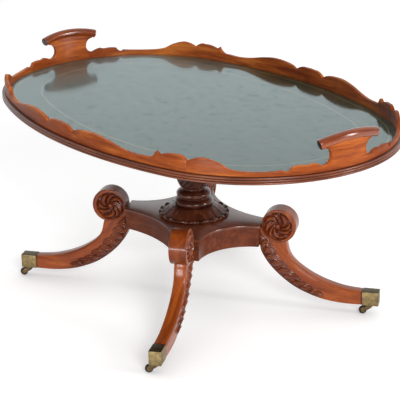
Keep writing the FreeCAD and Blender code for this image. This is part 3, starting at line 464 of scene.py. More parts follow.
def metal(name, colours, roughness, grime):
    """Old cast metal: blotchy tone, dull patches, fine pits, and darker on faces that point up."""
    made, tree, shader = new_material(name)
    blotch = noise(tree, (110, 110, 110), Detail=4.0, Roughness=0.6)
    tone = ramp(tree, blotch, list(zip((0.3, 0.7), colours)))
    level = add_node(tree, "SeparateXYZ")
    link(tree, add_node(tree, "TexCoord").outputs["Normal"], level.inputs[0])
    # Faces that point up are made darker.
    top = ramp(tree, level.outputs["Z"], [(0.4, (0, 0, 0)), (0.9, (1, 1, 1))])
    link(tree, mix_colours(tree, top, tone, TOP_DARKENING, "MULTIPLY"), shader.inputs["Base Color"])
    rough = add_node(tree, "MapRange", To_Min=roughness, To_Max=roughness + grime)
    link(tree, blotch, rough.inputs["Value"])
    link(tree, rough.outputs["Result"], shader.inputs["Roughness"])
    pits = noise(tree, (900, 900, 900), Detail=3.0)
    link(tree, roughen(tree, pits, 0.12, 0.0003), shader.inputs["Normal"])
    shader.inputs["Metallic"].default_value = 1.0
    return made


def rounded_box(low, high, radius):
    """Box with rounded edges as a skin."""
    shape = bmesh.new()
    bmesh.ops.create_cube(shape, size=1.0)
    for vertex in shape.verts:
        vertex.co = Vector([(a + b) / 2 + c * (b - a) for a, b, c in zip(low, high, vertex.co)])
    bmesh.ops.bevel(shape, geom=shape.edges[:], offset=radius, affect="EDGES", segments=3, profile=0.5,
                    material=-1)
    return take_skin(shape)


brass = metal("old brass", [(0.15, 0.105, 0.05), (0.33, 0.245, 0.115)], roughness=0.36, grime=0.22)
cap_low = (CAP_HEEL, -CAP_HALF - 0.3, CAP_FOOT - 0.2)
cap_high = (CAP_TOE, CAP_HALF + 0.3, CAP_TOP + 0.5)
cap_skin = rounded_box(cap_low, cap_high, radius=1.1)
for name in LEGS:
    make_piece("brass_cap_" + name, cap_skin, brass, "stand", ["toe_cap_" + name], "brass", **leg_place(name))

# Castors: a cast brass horn swivels on a pin in the toe, and carries a small turned wheel between
# two cheeks on a steel axle.
PIVOT_REACH = 405.5
TRAIL = 18
CASTOR_TURN = math.radians(235)
WHEEL_RADIUS = 9.5
WHEEL_HALF = 4.5
CHEEK_IN, CHEEK_OUT = 4.9, 7.1
PLATE_TOP = 23.7
HORN = [
    (-4.8, 22.4), (-2.5, 17.5), (3.5, 13.0), (9.5, 9.5), (13.6, 6.6), (17.2, 4.9), (20.6, 5.7), (22.6, 8.6),
    (22.2, 12.0), (20.0, 15.5), (15.6, 18.6), (8.0, 22.4),
]
PLATE = [(0.2, 20.6), (7.0, 20.7), (8.0, 21.4), (8.0, 23.0), (7.5, PLATE_TOP), (0.2, PLATE_TOP)]
PIVOT = [(3.0, PLATE_TOP - 1), (3.0, 40.8), (2.4, 41.4)]
WHEEL_SIDE = [(1.7, 4.0), (3.4, WHEEL_HALF), (5.4, 4.2), (6.4, 3.6), (7.4, 4.1), (8.6, 3.6), (9.3, 2.2)]


def lathe(profile, count, axis="Z"):
    """Skin turned from pairs of radius and height about Z, or about Y, through the origin."""
    shape = bmesh.new()
    upright = axis == "Z"
    points = [shape.verts.new((r, 0, h) if upright else (r, h, 0)) for r, h in profile]
    edges = [shape.edges.new(pair) for pair in zip(points, points[1:])]
    bmesh.ops.spin(shape, geom=points + edges, axis=(0, 0, 1) if upright else (0, 1, 0), angle=math.tau,
                   steps=count, use_merge=True)
    bmesh.ops.holes_fill(shape, edges=shape.edges[:])
    return take_skin(shape)


def moved(skin, shift):
    """The same skin at another place."""
    vertices, faces = skin
    return [tuple(a + b for a, b in zip(v, shift)) for v in vertices], faces


def slab(outline, low, high):
    """Flat plate with softened edges, standing across Y."""
    sections = []
    middle = Vector(outline[0]).lerp(Vector(outline[len(outline) // 2]), 0.5)
    for y, inset in ((low, 0.93), (low + 0.4, 1.0), (high - 0.4, 1.0), (high, 0.93)):
        loop = [(middle.x + (x - middle.x) * inset, middle.y + (z - middle.y) * inset) for x, z in outline]
        sections.append([(x, y, z) for x, z in loop])
    return loft(sections)


horn_outline = spline(HORN + HORN[:1], 60)[:-1]
web_outline = [(x, z) for x, z in horn_outline if x < 8.2]
cheeks = [slab(horn_outline, CHEEK_IN, CHEEK_OUT), slab(horn_outline, -CHEEK_OUT, -CHEEK_IN)]
web = slab(web_outline, -CHEEK_IN, CHEEK_IN)
horn_skin = join_shells([lathe(PLATE, 48), lathe(PIVOT, 24), *cheeks, web])
wheel_profile = [(r, -y) for r, y in WHEEL_SIDE] + [(WHEEL_RADIUS, 0)] + WHEEL_SIDE[::-1]
wheel_skin = moved(lathe(wheel_profile, 56, "Y"), (TRAIL, 0, WHEEL_RADIUS))
horn_brass = metal("dark brass", [(0.07, 0.048, 0.028), (0.20, 0.135, 0.066)], roughness=0.36, grime=0.22)
wheel_metal = metal("wheel bronze", [(0.022, 0.018, 0.014), (0.075, 0.058, 0.042)], roughness=0.4,
                    grime=0.2)


def dress(name, material):
    """Give a CAD node that keeps its own shape a material."""
    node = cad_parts[name]
    node.data.materials.clear()
    node.data.materials.append(material)
    return node


for name in LEGS:
    place = leg_place(name)
    spot = (place["shift"][0] + PIVOT_REACH * math.cos(place["turn"]),
            place["shift"][1] + PIVOT_REACH * math.sin(place["turn"]), 0)
    make_piece("castor_horn_" + name, horn_skin, horn_brass, f"castor_{name}_body", ["castor_" + name],
               "brass", turn=CASTOR_TURN, shift=spot)
    make_piece("castor_wheel_" + name, wheel_skin, wheel_metal, f"wheel_{name}_body", ["wheel_" + name],
               "wheel", turn=CASTOR_TURN, shift=spot)
    axle = dress("axle_" + name, horn_brass)

# Carved collar round the column's foot: a spreading skirt of tongue-shaped flutes whose lower edge
# curls up in a ruffled rim. Turned and carved from one dark block, glued to the platform.
COLLAR_FOOT = 208
COLLAR_LOBES = 20
COLLAR_POINTS = 480
COLLAR_HEIGHT = 25.0
SKIRT_RADIUS, SKIRT_REACH = 50, 34
LIP_NOTCH, LIP_RUFFLE = 2.6, 1.6
TONGUE_SINK, TONGUE_REED = 2.2, 0.5
COLLAR_PROFILE = [
    (20.5, 0.0), (70, 0.0), (80, 0.6), (84, 3.0), (84.2, 6.2), (81.5, 8.4), (78.0, 8.0), (75.5, 6.8),
    (71, 9.0), (64, 14.5), (58, 19.5), (53.5, 23.2), (50, 24.6), (47, COLLAR_HEIGHT), (20.5, COLLAR_HEIGHT),
]


def collar_ring(radius, height, share):
    """One ring of the collar; share says how far down the skirt it lies."""
    ring = []
    for k in range(COLLAR_POINTS):
        a = math.tau * k / COLLAR_POINTS
        wave = a * COLLAR_LOBES / math.tau
        place = abs(2 * (wave - math.floor(wave)) - 1)
        tongue = math.sqrt(max(0.0, 1 - (1 - place) ** 2)) if place < 1 else 1.0
        slope = math.sin(math.pi * min(max(share, 0.0), 1.0))
        lip = smooth(0.75, 0.95, share)
        r = radius - LIP_NOTCH * (1 - tongue) * lip
        z = height - TONGUE_SINK * (1 - tongue) * slope
        z += LIP_RUFFLE * math.cos(math.tau * wave) * lip * (height > 5)
        z += TONGUE_REED * math.cos(4 * math.tau * wave) * slope * (1 - lip)
        ring.append((r * math.cos(a), r * math.sin(a), COLLAR_FOOT + max(z, 0.0)))
    return ring


collar_wood = wood("carved mahogany", [(0.028, 0.007, 0.004), (0.07, 0.017, 0.008), (0.13, 0.034, 0.014)],
                   roughness=0.28, coat=0.5)
collar_sections = []
for radius, height in spline(COLLAR_PROFILE, 70):
    skirt = height > 1.0 and radius > SKIRT_RADIUS - 2
    share = (radius - SKIRT_RADIUS) / SKIRT_REACH if skirt else 0.0
    collar_sections.append(collar_ring(radius, min(height, COLLAR_HEIGHT), share))
make_piece("carved_collar", loft(collar_sections), collar_wood, "stand", ["column_collar"], "mahogany",
           sharp=50)

# Turned column: a thick ring, a shoulder and a bead on the lathe, then a vase carved with twisted
# flutes, all from one dark mahogany blank that is tenoned into the platform and the block.
COLUMN_FOOT = 233
COLUMN_POINTS = 384
COLUMN_FLUTES = 16
COLUMN_TWIST = 0.03
FLUTE_DEPTH, VEIN_DEPTH = 3.0, 1.4
VASE_FOOT, VASE_TOP = 44, 160
COLUMN_PROFILE = [
    (20, -78), (20, 0), (38, 0.0), (43.5, 1.6), (46, 6.0), (45.6, 10.5), (42.6, 14.6), (38.0, 16.6),
    (35.5, 17.0), (34.6, 18.6), (36.5, 20.2), (40.0, 22.6), (41.0, 26.5), (40.2, 31.0), (36.0, 35.2),
    (30.0, 37.2), (26.0, 37.6), (25.2, 38.4), (27.0, 39.4), (27.6, 41.0), (27.0, 42.6), (25.0, 43.6),
    (27.5, 44.2), (32.0, 45.6), (35.5, 51), (39.0, 60), (43.0, 75), (47.5, 92), (50.0, 108), (49.0, 122),
    (45.0, 136), (39.0, 150), (32.5, 162), (29.0, 170), (30.0, 174), (35.0, 178), (36.0, 182), (34.5, 184.5),
    (38.0, 186), (42.0, 188), (42.0, 199), (20, 199), (20, 224),
]


def column_ring(radius, height):
    """One ring of the column, with twisted flutes where it crosses the vase."""
    ring = []
    carved = smooth(VASE_FOOT, VASE_FOOT + 6, height) * smooth(VASE_TOP, VASE_TOP - 20, height)
    for k in range(COLUMN_POINTS):
        a = math.tau * k / COLUMN_POINTS
        wave = (a - COLUMN_TWIST * (height - VASE_FOOT)) * COLUMN_FLUTES / math.tau
        place = abs(2 * (wave - math.floor(wave)) - 1)
        vein = math.exp(-(place / 0.14) ** 2)
        r = radius - carved * (FLUTE_DEPTH * smooth(0.66, 1.0, place) + VEIN_DEPTH * vein)
        ring.append((r * math.cos(a), r * math.sin(a), COLUMN_FOOT + height))
    return ring


column_sections = [column_ring(r, h) for r, h in COLUMN_PROFILE[:3]]
column_sections += [column_ring(r, h) for r, h in spline(COLUMN_PROFILE[3:40], 190)]
column_sections += [column_ring(r, h) for r, h in COLUMN_PROFILE[40:]]
make_piece("turned_column", loft(column_sections), collar_wood, "stand", ["column"], "mahogany", sharp=45)

# Hidden joinery: the block on the column's top, the wedge in its lower tenon, the tray board with
# its two bearers, two cleats and four wood screws. Sawn mahogany, oiled and not polished.
plain_wood = wood("plain mahogany", [(0.09, 0.03, 0.012), (0.17, 0.06, 0.024), (0.25, 0.095, 0.04)],
                  roughness=0.55, coat=0.1)
steel = metal("screw steel", [(0.24, 0.23, 0.21), (0.42, 0.41, 0.39)], roughness=0.35, grime=0.15)
for name in ("column_block", "column_wedge", "tray_board", "bearer_right", "bearer_left", "cleat_front",
             "cleat_back"):
    dress(name, plain_wood)
dress("bearer_screws", steel)

# Rim moulding: a mahogany strip with three round reeds, bent round the edge of the tray board and
# glued. Painted shade lies dark in the grooves between the reeds.
HALF_LENGTH, HALF_WIDTH = 560, 367
END_RADIUS = 0.895 * HALF_WIDTH
TRAY_FOOT = 457
TRAY_TOP = 466
SIDE_RADIUS = ((HALF_LENGTH ** 2 + HALF_WIDTH ** 2 - 2 * HALF_LENGTH * END_RADIUS)
               / (2 * (HALF_WIDTH - END_RADIUS)))
END_CENTRE = HALF_LENGTH - END_RADIUS
SIDE_CENTRE = SIDE_RADIUS - HALF_WIDTH
END_TURN = math.atan2(SIDE_CENTRE, END_CENTRE)
REEDS, REED_DEPTH = 3, 2.0
RIM_HEIGHT, RIM_DEPTH = 16.0, 7.0
RIM_STEPS = 560


def oval_at(turn, inset):
    """Point of the tray's oval whose outward normal has this angle, at an inset from the outer edge."""
    c, s = math.cos(turn), math.sin(turn)
    if abs(math.atan2(s, abs(c))) <= END_TURN:
        return (math.copysign(END_CENTRE, c) + (END_RADIUS - inset) * c, (END_RADIUS - inset) * s)
    return ((SIDE_RADIUS - inset) * c, (SIDE_RADIUS - inset) * s - math.copysign(SIDE_CENTRE, s))


def oval_turn(run, inset):
    """Angle of the normal at a distance along the oval from its right end, at an inset."""
    end_run = (END_RADIUS - inset) * END_TURN
    side_run = (SIDE_RADIUS - inset) * (math.pi / 2 - END_TURN)
    quarter = end_run + side_run
    count = math.floor(run / quarter)
    left = run - count * quarter
    if count % 2:
        left = quarter - left
    if left < end_run:
        turn = left / (END_RADIUS - inset)
    else:
        turn = END_TURN + (left - end_run) / (SIDE_RADIUS - inset)
    return count * math.pi / 2 + (math.pi / 2 - turn if count % 2 else turn)


def oval_quarter(inset):
    """Length of a quarter of the oval at an inset."""
    return (END_RADIUS - inset) * END_TURN + (SIDE_RADIUS - inset) * (math.pi / 2 - END_TURN)


def reed_section():
    """Inset and height of the moulding's section."""
    tall = RIM_HEIGHT / REEDS
    reed = arc_through((REED_DEPTH, 0.0), (0.0, tall / 2), (REED_DEPTH, tall), 8)
    points = [(RIM_DEPTH, RIM_HEIGHT), (RIM_DEPTH, 0.0), (REED_DEPTH, 0.0)]
    for index in range(REEDS):
        points += [(x, tall * index + z) for x, z in reed[1:]]
    return points


rim_sections, rim_grain, rim_painted_shade = [], [], []
reeds = reed_section()
rim_length = 4 * oval_quarter(0)
for k in range(RIM_STEPS):
    run = rim_length * k / RIM_STEPS
    turn = oval_turn(run, 0)
    rim_sections.append([(*oval_at(turn, inset), TRAY_FOOT + z) for inset, z in reeds])
    rim_grain += [(run, inset, z) for inset, z in reeds]
    # Painted shade in the grooves between the reeds.
    rim_painted_shade += [smooth(0.5, REED_DEPTH, inset) for inset, _ in reeds]
rim_wood = wood("rim mahogany", [(0.08, 0.02, 0.009), (0.16, 0.042, 0.016), (0.25, 0.075, 0.028)], "grain",
                coat=0.25, shine=0.2, aged=PAINTED_SHADE_TINT)
make_piece("reeded_rim", loft(rim_sections, ring=True), rim_wood, "tray", ["rim_moulding"], "mahogany",
           grain=rim_grain, painted_light_and_end_grain=rim_painted_shade, sharp=50)

# Gallery: four lengths of thin mahogany, fretted in scallops, bent and glued round the tray. The end
# lengths rise to the handle uprights with a round finger bite on each side.
WALL_OUT, WALL_IN = 7.4, 16.4
WALL_MID = (WALL_OUT + WALL_IN) / 2
QUARTER = oval_quarter(WALL_MID)
GALLERY_HEIGHT = 41
BITE = (64.5, 38, 18.5)
UPRIGHT_TOP = 72
UPRIGHT_LEAN = 5.2
GRIP_REACH, GRIP_DROP = 76, 10.5
EDGE_RADIUS, UPRIGHT_EDGE, JOINT_EDGE = 1.6, 0.5, 0.02
DIAGONAL = 0.7071
MAHOGANY_WARM = [(0.10, 0.015, 0.0035), (0.235, 0.045, 0.006), (0.39, 0.102, 0.013)]
# Tint that paints light onto the gallery.
PAINTED_LIGHT_TINT = (1.7, 2.1, 3.2)
# Painted highlight on the handle uprights.
UPRIGHT_PAINTED_LIGHT = 0.7
# Painted light at eight places round the tray.
PAINTED_LIGHT_PLACES = [0.30, 0.05, 0.30, 0.95, 0.12, 0.0, 0.12, 0.62]
PLATEAU_SHARES = [
    [(0.118, 0.66), (0.130, 0.60), (0.140, 0.60)],
    [(0.140, 0.60), (0.160, 0.62), (0.178, 0.58)],
    [(0.178, 0.58), (0.184, 0.43), (0.196, 0.34)],
    [(0.196, 0.34), (0.202, 0.42), (0.210, 0.42)],
    [(0.210, 0.42), (0.265, 0.38), (0.320, 0.41)],
    [(0.320, 0.41), (0.352, 0.52), (0.385, 0.82), (0.425, 1.00), (0.455, 0.90), (0.473, 0.75)],
]
SIDE_SHARES = [
    [(0.473, 0.75), (0.482, 0.90), (0.510, 0.98)],
    [(0.510, 0.98), (0.545, 0.92), (0.562, 0.81)],
    [(0.562, 0.81), (0.575, 0.96)],
    [(0.575, 0.96), (0.584, 0.72), (0.612, 0.57)],
    [(0.612, 0.57), (0.660, 0.53), (0.710, 0.62), (0.770, 0.84), (0.830, 0.96), (0.900, 0.86),
     (0.932, 0.62)],
    [(0.932, 0.62), (0.948, 0.82), (0.975, 0.91)],
    [(0.975, 0.91), (1.000, 0.93)],
]


def stroke_points(stroke):
    """Points of one stroke of the outline, as distance along the wall and height."""
    points = [(share * QUARTER, height * GALLERY_HEIGHT) for share, height in stroke]
    if len(points) == 2:
        return [tuple(Vector(points[0]).lerp(Vector(points[1]), i / 4)) for i in range(5)]
    if len(points) == 3:
        return arc_through(*points, 14)
    return spline(points, 60)


def chain(strokes):
    """Points of strokes that follow one another."""
    points = []
    for stroke in strokes:
        points += stroke_points(stroke)[1 if points else 0:]
    return points


def painted_light_along(run):
    """How much painted light the wood gets at a distance along the wall, from values at eight places round
    the tray.
    """
    place = run / QUARTER * 2 % 8
    before = int(place)
    share = smooth(0, 1, place - before)
    return PAINTED_LIGHT_PLACES[before] * (1 - share) + PAINTED_LIGHT_PLACES[(before + 1) % 8] * share


def wall_painted_light(run, loop, edged):
    """Painted light on the wood: lighter places along the wall, and painted highlights on the handle uprights
    and on the top edges along the front.
    """
    away = abs((run + QUARTER) % (2 * QUARTER) - QUARTER)
    upright_lit = UPRIGHT_PAINTED_LIGHT * smooth(66, 40, away)
    lit_share = painted_light_along(run)
    lightening = [max(lit_share, upright_lit * smooth(6, 30, z)) for _, z in loop]
    if edged:
        # Painted highlight on the top edges along the front.
        front = smooth(0.2, -0.3, math.sin(oval_turn(run, WALL_MID)))
        lightening[2:-2] = [max(lit_share, front)] * len(lightening[2:-2])
    return lightening


def wall_loop(low, high, soft):
    """Section across the wall, as distance from its middle line and height, its upper edges rounded."""
    half = (WALL_IN - WALL_OUT) / 2
    radius = min(soft, (high - low) / 2)
    loop = [(half, low)]
    for corner, quarter in ((half - radius, 0), (radius - half, 1)):
        for step in range(5):
            a = math.pi / 2 * (quarter + step / 4)
            loop.append((corner + radius * math.cos(a), high - radius + radius * math.sin(a)))
    return loop + [(-half, low)]


def upright_lean(z):
    """How far a handle upright leans out at a height."""
    share = max(0.0, z - BITE[1]) / (UPRIGHT_TOP - BITE[1])
    return UPRIGHT_LEAN * share ** 1.4


def wall_section(run, low, high, soft):
    """Points, grain and painted light of the wall's section at a distance along it."""
    turn = oval_turn(run, WALL_MID)
    loop = wall_loop(low, high, soft)
    upright = low + soft > BITE[1]
    points = []
    for y, z in loop:
        out = upright_lean(z) if upright else 0.0
        points.append((*oval_at(turn, WALL_MID - y - out), TRAY_TOP + z))
    return points, [(run, y, z) for y, z in loop], wall_painted_light(run, loop, soft > 1)


def wall_strip(stations):
    """Skin, grain and painted light of a wall, from stations of distance, low edge, high edge and edge
    radius.
    """
    sections, grain, variation = zip(*[wall_section(*station) for station in stations])
    return loft(sections), sum(grain, []), sum(variation, [])


def gallery_piece(name, strips, node):
    """One length of the gallery from its strips of wall."""
    skins, grain, variation = zip(*[wall_strip(strip) for strip in strips])
    make_piece(name, join_shells(skins), gallery_wood, "tray", [node], "mahogany",
               grain=sum(grain, []), painted_light_and_end_grain=sum(variation, []), sharp=32)


def grip_line(s):
    """Height of the upright's top under the arched grip."""
    return UPRIGHT_TOP - GRIP_DROP * (s / GRIP_REACH) ** 2


def end_strips(start):
    """Lower wall and handle upright of an end length whose middle lies at a distance along the oval."""
    reach, height, radius = BITE
    slant = radius * DIAGONAL
    heel, foot = (reach - radius, height), (reach, height - radius)
    curve = arc_through(heel, (reach - slant, height - slant), foot, 10)
    first = (PLATEAU_SHARES[0][0][0] * QUARTER, PLATEAU_SHARES[0][0][1] * GALLERY_HEIGHT)
    rest = arc_through(foot, (reach + slant, height - slant), first, 10)[1:]
    outline = curve + rest + chain(PLATEAU_SHARES)[1:]
    bite = arc_through(heel, (reach - slant, height + slant), (reach, height + radius), 10)
    inner = [(s, height) for s in (0, 10, 20, 30, 40, 44)]
    lower = [(s, 0.0, z, JOINT_EDGE) for s, z in inner] + [(s, 0.0, z, EDGE_RADIUS) for s, z in outline]
    upper = [(s, z, grip_line(s), UPRIGHT_EDGE) for s, z in inner + bite]
    both = []
    for strip in (lower, upper):
        mirrored = [(-s, low, high, soft) for s, low, high, soft in reversed(strip[1:])]
        both.append([(start + s, low, high, soft) for s, low, high, soft in mirrored + strip])
    return both


def side_strip(start):
    """Wall of a side length whose middle lies at a distance along the oval."""
    right = [(s - QUARTER, 0.0, z, EDGE_RADIUS) for s, z in chain(SIDE_SHARES)]
    left = [(-s, low, high, soft) for s, low, high, soft in reversed(right[:-1])]
    return [[(start + s, low, high, soft) for s, low, high, soft in right + left]]


gallery_wood = wood("gallery mahogany", MAHOGANY_WARM, "grain", roughness=0.38, coat=0.05, shine=0.08,
                    aged=PAINTED_LIGHT_TINT)
gallery_piece("gallery_right_end", end_strips(0), "gallery_right")
gallery_piece("gallery_back_side", side_strip(QUARTER), "gallery_back")
gallery_piece("gallery_left_end", end_strips(2 * QUARTER), "gallery_left")
gallery_piece("gallery_front_side", side_strip(3 * QUARTER), "gallery_front")

# Handle grips: turned mahogany rolls, bent and arched to follow the tray's ends, let in on top of the
# uprights with their end grain showing.
GRIP_RADIUS = 10.5
GRIP_RISE = 75.5
GRIP_LEAN = 5.6
GRIP_POINTS = 40
END_GRAIN = (0.06, 0.05, 0.1)


def grip_skin(turn):
    """Roll swept along an arc in a leaning plane, turned to one end, with its grain and dark ends."""
    plan = END_RADIUS - WALL_MID + GRIP_LEAN
    back = plan - math.sqrt(plan ** 2 - GRIP_REACH ** 2)
    sag = math.hypot(back, GRIP_DROP)
    radius = (GRIP_REACH ** 2 + sag ** 2) / (2 * sag)
    out = Vector((back / sag, 0, GRIP_DROP / sag))
    middle = Vector((END_CENTRE + plan, 0, TRAY_TOP + GRIP_RISE))
    centre = middle - out * radius
    half = math.asin(GRIP_REACH / radius)
    sections, grain, darkening = [], [], []
    steps = [(-half, 0.80), (-half + 0.002, 0.95), (-half + 0.006, 1.0)]
    steps += [(half * (-0.95 + 1.9 * i / 60), 1.0) for i in range(61)]
    steps += [(half - 0.006, 1.0), (half - 0.002, 0.95), (half, 0.80)]
    for angle, share in steps:
        direction = out * math.cos(angle) + Vector((0, 1, 0)) * math.sin(angle)
        across = Vector((-out.z, 0, out.x))
        ring = []
        for k in range(GRIP_POINTS):
            a = math.tau * k / GRIP_POINTS
            x, y = GRIP_RADIUS * share * math.cos(a), GRIP_RADIUS * share * math.sin(a)
            ring.append(centre + direction * (radius + x) + across * y)
            grain.append((radius * angle, x, y))
        sections.append([tuple(Matrix.Rotation(turn, 3, "Z") @ p) for p in ring])
        darkening += [1.0 if share < 0.9 else 0.0] * GRIP_POINTS
    return loft(sections), grain, darkening


grip_wood = wood("grip mahogany", [(0.10, 0.018, 0.005), (0.21, 0.040, 0.008), (0.33, 0.080, 0.015)], "grain",
                 roughness=0.3, coat=0.85, shine=0.1, aged=END_GRAIN)
for name, turn in (("right", 0.0), ("left", math.pi)):
    skin, grain, darkening = grip_skin(turn)
    make_piece("grip_roll_" + name, skin, grip_wood, "tray", ["handle_grip_" + name], "mahogany", grain=grain,
               painted_light_and_end_grain=darkening)

# Leather panel: dark green hide glued to the board, with two gilt lines tooled along the oval. The gilt
# is rubbed in places, and the hide has pale flecks towards the far right.
LEATHER_INSET = 16.6
LEATHER_FOOT, LEATHER_TOP = TRAY_TOP, 467.2
GILT_LINES = [(31.0, 1.4), (95.0, 1.6)]
GILT_WEAR = [(0.32, (0.4, 0.4, 0.4)), (0.56, (1, 1, 1))]
GILT = (0.36, 0.225, 0.10, 1)
PALE_FLECK = (0.15, 0.18, 0.14, 1)
FLECK_SPREAD = (0.6, 0.8, 0), [(0.24, 0.0), (0.34, 1.0)]
RING_POINTS, RING_INSET = 320, 20
OVAL_MIDDLE = 300


def combine(tree, operation, first, second=None):
    """Result of one arithmetic step on one or two values."""
    node = add_node(tree, "Math", operation=operation)
    feed(tree, node.inputs[0], first)
    if second is not None:
        feed(tree, node.inputs[1], second)
    return node.outputs[0]


def across_tray(tree, way, stops):
    """Value that changes across the tray, in one direction, between two distances from its middle."""
    place = add_node(tree, "VectorMath", operation="DOT_PRODUCT")
    link(tree, add_node(tree, "TexCoord").outputs["Object"], place.inputs[0])
    place.inputs[1].default_value = way
    share = add_node(tree, "MapRange")
    for end, (where, value) in zip(("Min", "Max"), stops):
        share.inputs["From " + end].default_value = where
        share.inputs["To " + end].default_value = value
    link(tree, place.outputs["Value"], share.inputs["Value"])
    return share.outputs["Result"]


def gilt_lines(tree):
    """1 on a tooled line and 0 beside it, by the inset from the tray's edge."""
    inset = add_node(tree, "Attribute", attribute_name="grain").outputs["Fac"]
    masks = []
    for place, half in GILT_LINES:
        away = combine(tree, "ABSOLUTE", combine(tree, "SUBTRACT", inset, place * MM))
        masks.append(combine(tree, "LESS_THAN", away, half * MM))
    return combine(tree, "MAXIMUM", *masks)


def leather_material():
    """Green hide in two tones with fine creases, rubbed gilt lines and pale flecks."""
    made, tree, shader = new_material("green leather")
    patches = noise(tree, (6, 6, 6), Detail=5.0, Roughness=0.6)
    hide = ramp(tree, patches, [(0.3, (0.015, 0.038, 0.025)), (0.7, (0.034, 0.068, 0.045))])
    rubbed = noise(tree, (24, 24, 24), Detail=4.0, Roughness=0.7)
    gilt = combine(tree, "MULTIPLY", gilt_lines(tree), ramp(tree, rubbed, GILT_WEAR))
    tooled = mix_colours(tree, gilt, hide, GILT)
    flecks = noise(tree, (140, 140, 140), Detail=3.0, Roughness=0.6)
    marks = ramp(tree, flecks, [(0.59, (0, 0, 0)), (0.66, (1, 1, 1))])
    pale_flecks = combine(tree, "MULTIPLY", marks, across_tray(tree, *FLECK_SPREAD))
    link(tree, mix_colours(tree, pale_flecks, tooled, PALE_FLECK), shader.inputs["Base Color"])
    creases = add_node(tree, "TexVoronoi", Scale=1.0, feature="DISTANCE_TO_EDGE")
    link(tree, coordinates(tree, None, (700, 700, 700)), creases.inputs["Vector"])
    link(tree, roughen(tree, creases.outputs["Distance"], 0.08, 0.0002), shader.inputs["Normal"])
    shader.inputs["Roughness"].default_value = 0.6
    shader.inputs["Specular IOR Level"].default_value = 0.08
    return made


def oval_ring(inset, z):
    """Points round the tray at an inset and a height."""
    whole = 4 * oval_quarter(RING_INSET)
    turns = [oval_turn(whole * k / RING_POINTS, RING_INSET) for k in range(RING_POINTS)]
    return [(*oval_at(turn, inset), z) for turn in turns]


leather_sections, leather_grain = [], []
leather_insets = [LEATHER_INSET + 3.0 * i for i in range(34)] + [150, 200, 250, OVAL_MIDDLE]
for z, insets in ((LEATHER_FOOT, [OVAL_MIDDLE, LEATHER_INSET]), (LEATHER_TOP, leather_insets)):
    for inset in insets:
        leather_sections.append(oval_ring(inset, z))
        leather_grain += [(inset, inset, inset)] * RING_POINTS
make_piece("tooled_leather", loft(leather_sections), leather_material(), "tray", ["leather_panel"], "leather",
           grain=leather_grain)

# Glass plate: old plate glass cut to the oval, with a ground edge, lying loose on the leather inside the
# gallery. It is finely worn all over and has a dull film towards the left end.
GLASS_INSET = 17.0
GLASS_FOOT, GLASS_TOP = LEATHER_TOP + 0.05, 471.2
GLASS_EDGE = 0.8
GLASS_TINT = (0.86, 0.93, 0.90, 1)
GLASS_WEAR = [(0.30, (0.65, 0.78, 0.82)), (0.43, (0.83, 0.94, 0.97)), (0.72, (0.88, 0.98, 1.0))]
FILM = (1, 0, 0), [(-0.40, 0.42), (-0.10, 0.0)]


def mix_shaders(tree, share, first, second):
    """Surface mixed from two shader nodes by a share."""
    node = add_node(tree, "MixShader")
    link(tree, share, node.inputs[0])
    link(tree, first.outputs[0], node.inputs[1])
    link(tree, second.outputs[0], node.inputs[2])
    return node


def glass_gloss(tree):
    """What the glass mirrors, tinted by its wear and blurred where the film lies."""
    mirror = add_node(tree, "BsdfGlossy", Roughness=0.1)
    film = add_node(tree, "BsdfGlossy", Roughness=0.42)
    ripple = noise(tree, (9, 9, 9), Detail=2.0)
    link(tree, roughen(tree, ripple, 0.05, 0.001), mirror.inputs["Normal"])
    variation = noise(tree, (44, 44, 44), Detail=5.0, Roughness=0.65, Distortion=0.4)
    tint = ramp(tree, variation, GLASS_WEAR)
    for lobe in (mirror, film):
        link(tree, tint, lobe.inputs["Color"])
    return mix_shaders(tree, across_tray(tree, *FILM), mirror, film)


def glass_material():
    """Old plate glass: see-through and faintly green, and mirror-like at low angles."""
    made, tree, shader = new_material("plate glass")
    clear = add_node(tree, "BsdfTransparent", Color=GLASS_TINT)
    facing = add_node(tree, "LayerWeight", Blend=0.5).outputs["Facing"]
    share = add_node(tree, "MapRange", To_Min=0.05, To_Max=1.42)
    link(tree, combine(tree, "POWER", facing, 5.0), share.inputs["Value"])
    front = add_node(tree, "Math", operation="SUBTRACT", use_clamp=True)
    link(tree, share.outputs["Result"], front.inputs[0])
    link(tree, add_node(tree, "NewGeometry").outputs["Backfacing"], front.inputs[1])
    surface = mix_shaders(tree, front.outputs[0], clear, glass_gloss(tree))
    link(tree, surface.outputs[0], tree.nodes["Material Output"].inputs["Surface"])
    tree.nodes.remove(shader)
    return made


glass_levels = [
    (OVAL_MIDDLE, GLASS_FOOT), (GLASS_INSET + GLASS_EDGE, GLASS_FOOT), (GLASS_INSET, GLASS_FOOT + GLASS_EDGE),
    (GLASS_INSET, GLASS_TOP - GLASS_EDGE), (GLASS_INSET + GLASS_EDGE, GLASS_TOP), (OVAL_MIDDLE, GLASS_TOP),
]
glass_sections = [oval_ring(inset, z) for inset, z in glass_levels]
make_piece("plate_glass", loft(glass_sections), glass_material(), "tray", ["glass_plate"], "glass")

# Studio: a plain pale floor, two soft boxes at the right, a low strip in front, a room that is brightest
# behind the table, and the camera of the photograph.
CAMERA_PLACE = (2.70047, -1.91204, 1.44483)
CAMERA_RIGHT = (0.585202, 0.810789, -0.012727)
CAMERA_UP = (-0.270408, 0.209919, 0.939579)
CAMERA_LENS = 133.23
BACKDROP_WAY = (-0.76, 0.54, 0.36)
ROOM_TONES = [(0.55, (0.27, 0.27, 0.27)), (0.93, (1, 1, 1))]
FLOOR_TONES = [(0.3, (0.59, 0.59, 0.59)), (0.7, (0.63, 0.63, 0.63))]
FLOOR_HALF = 30
FLOOR_GLOW = 0.58
SHADOW_REACH = 0.2


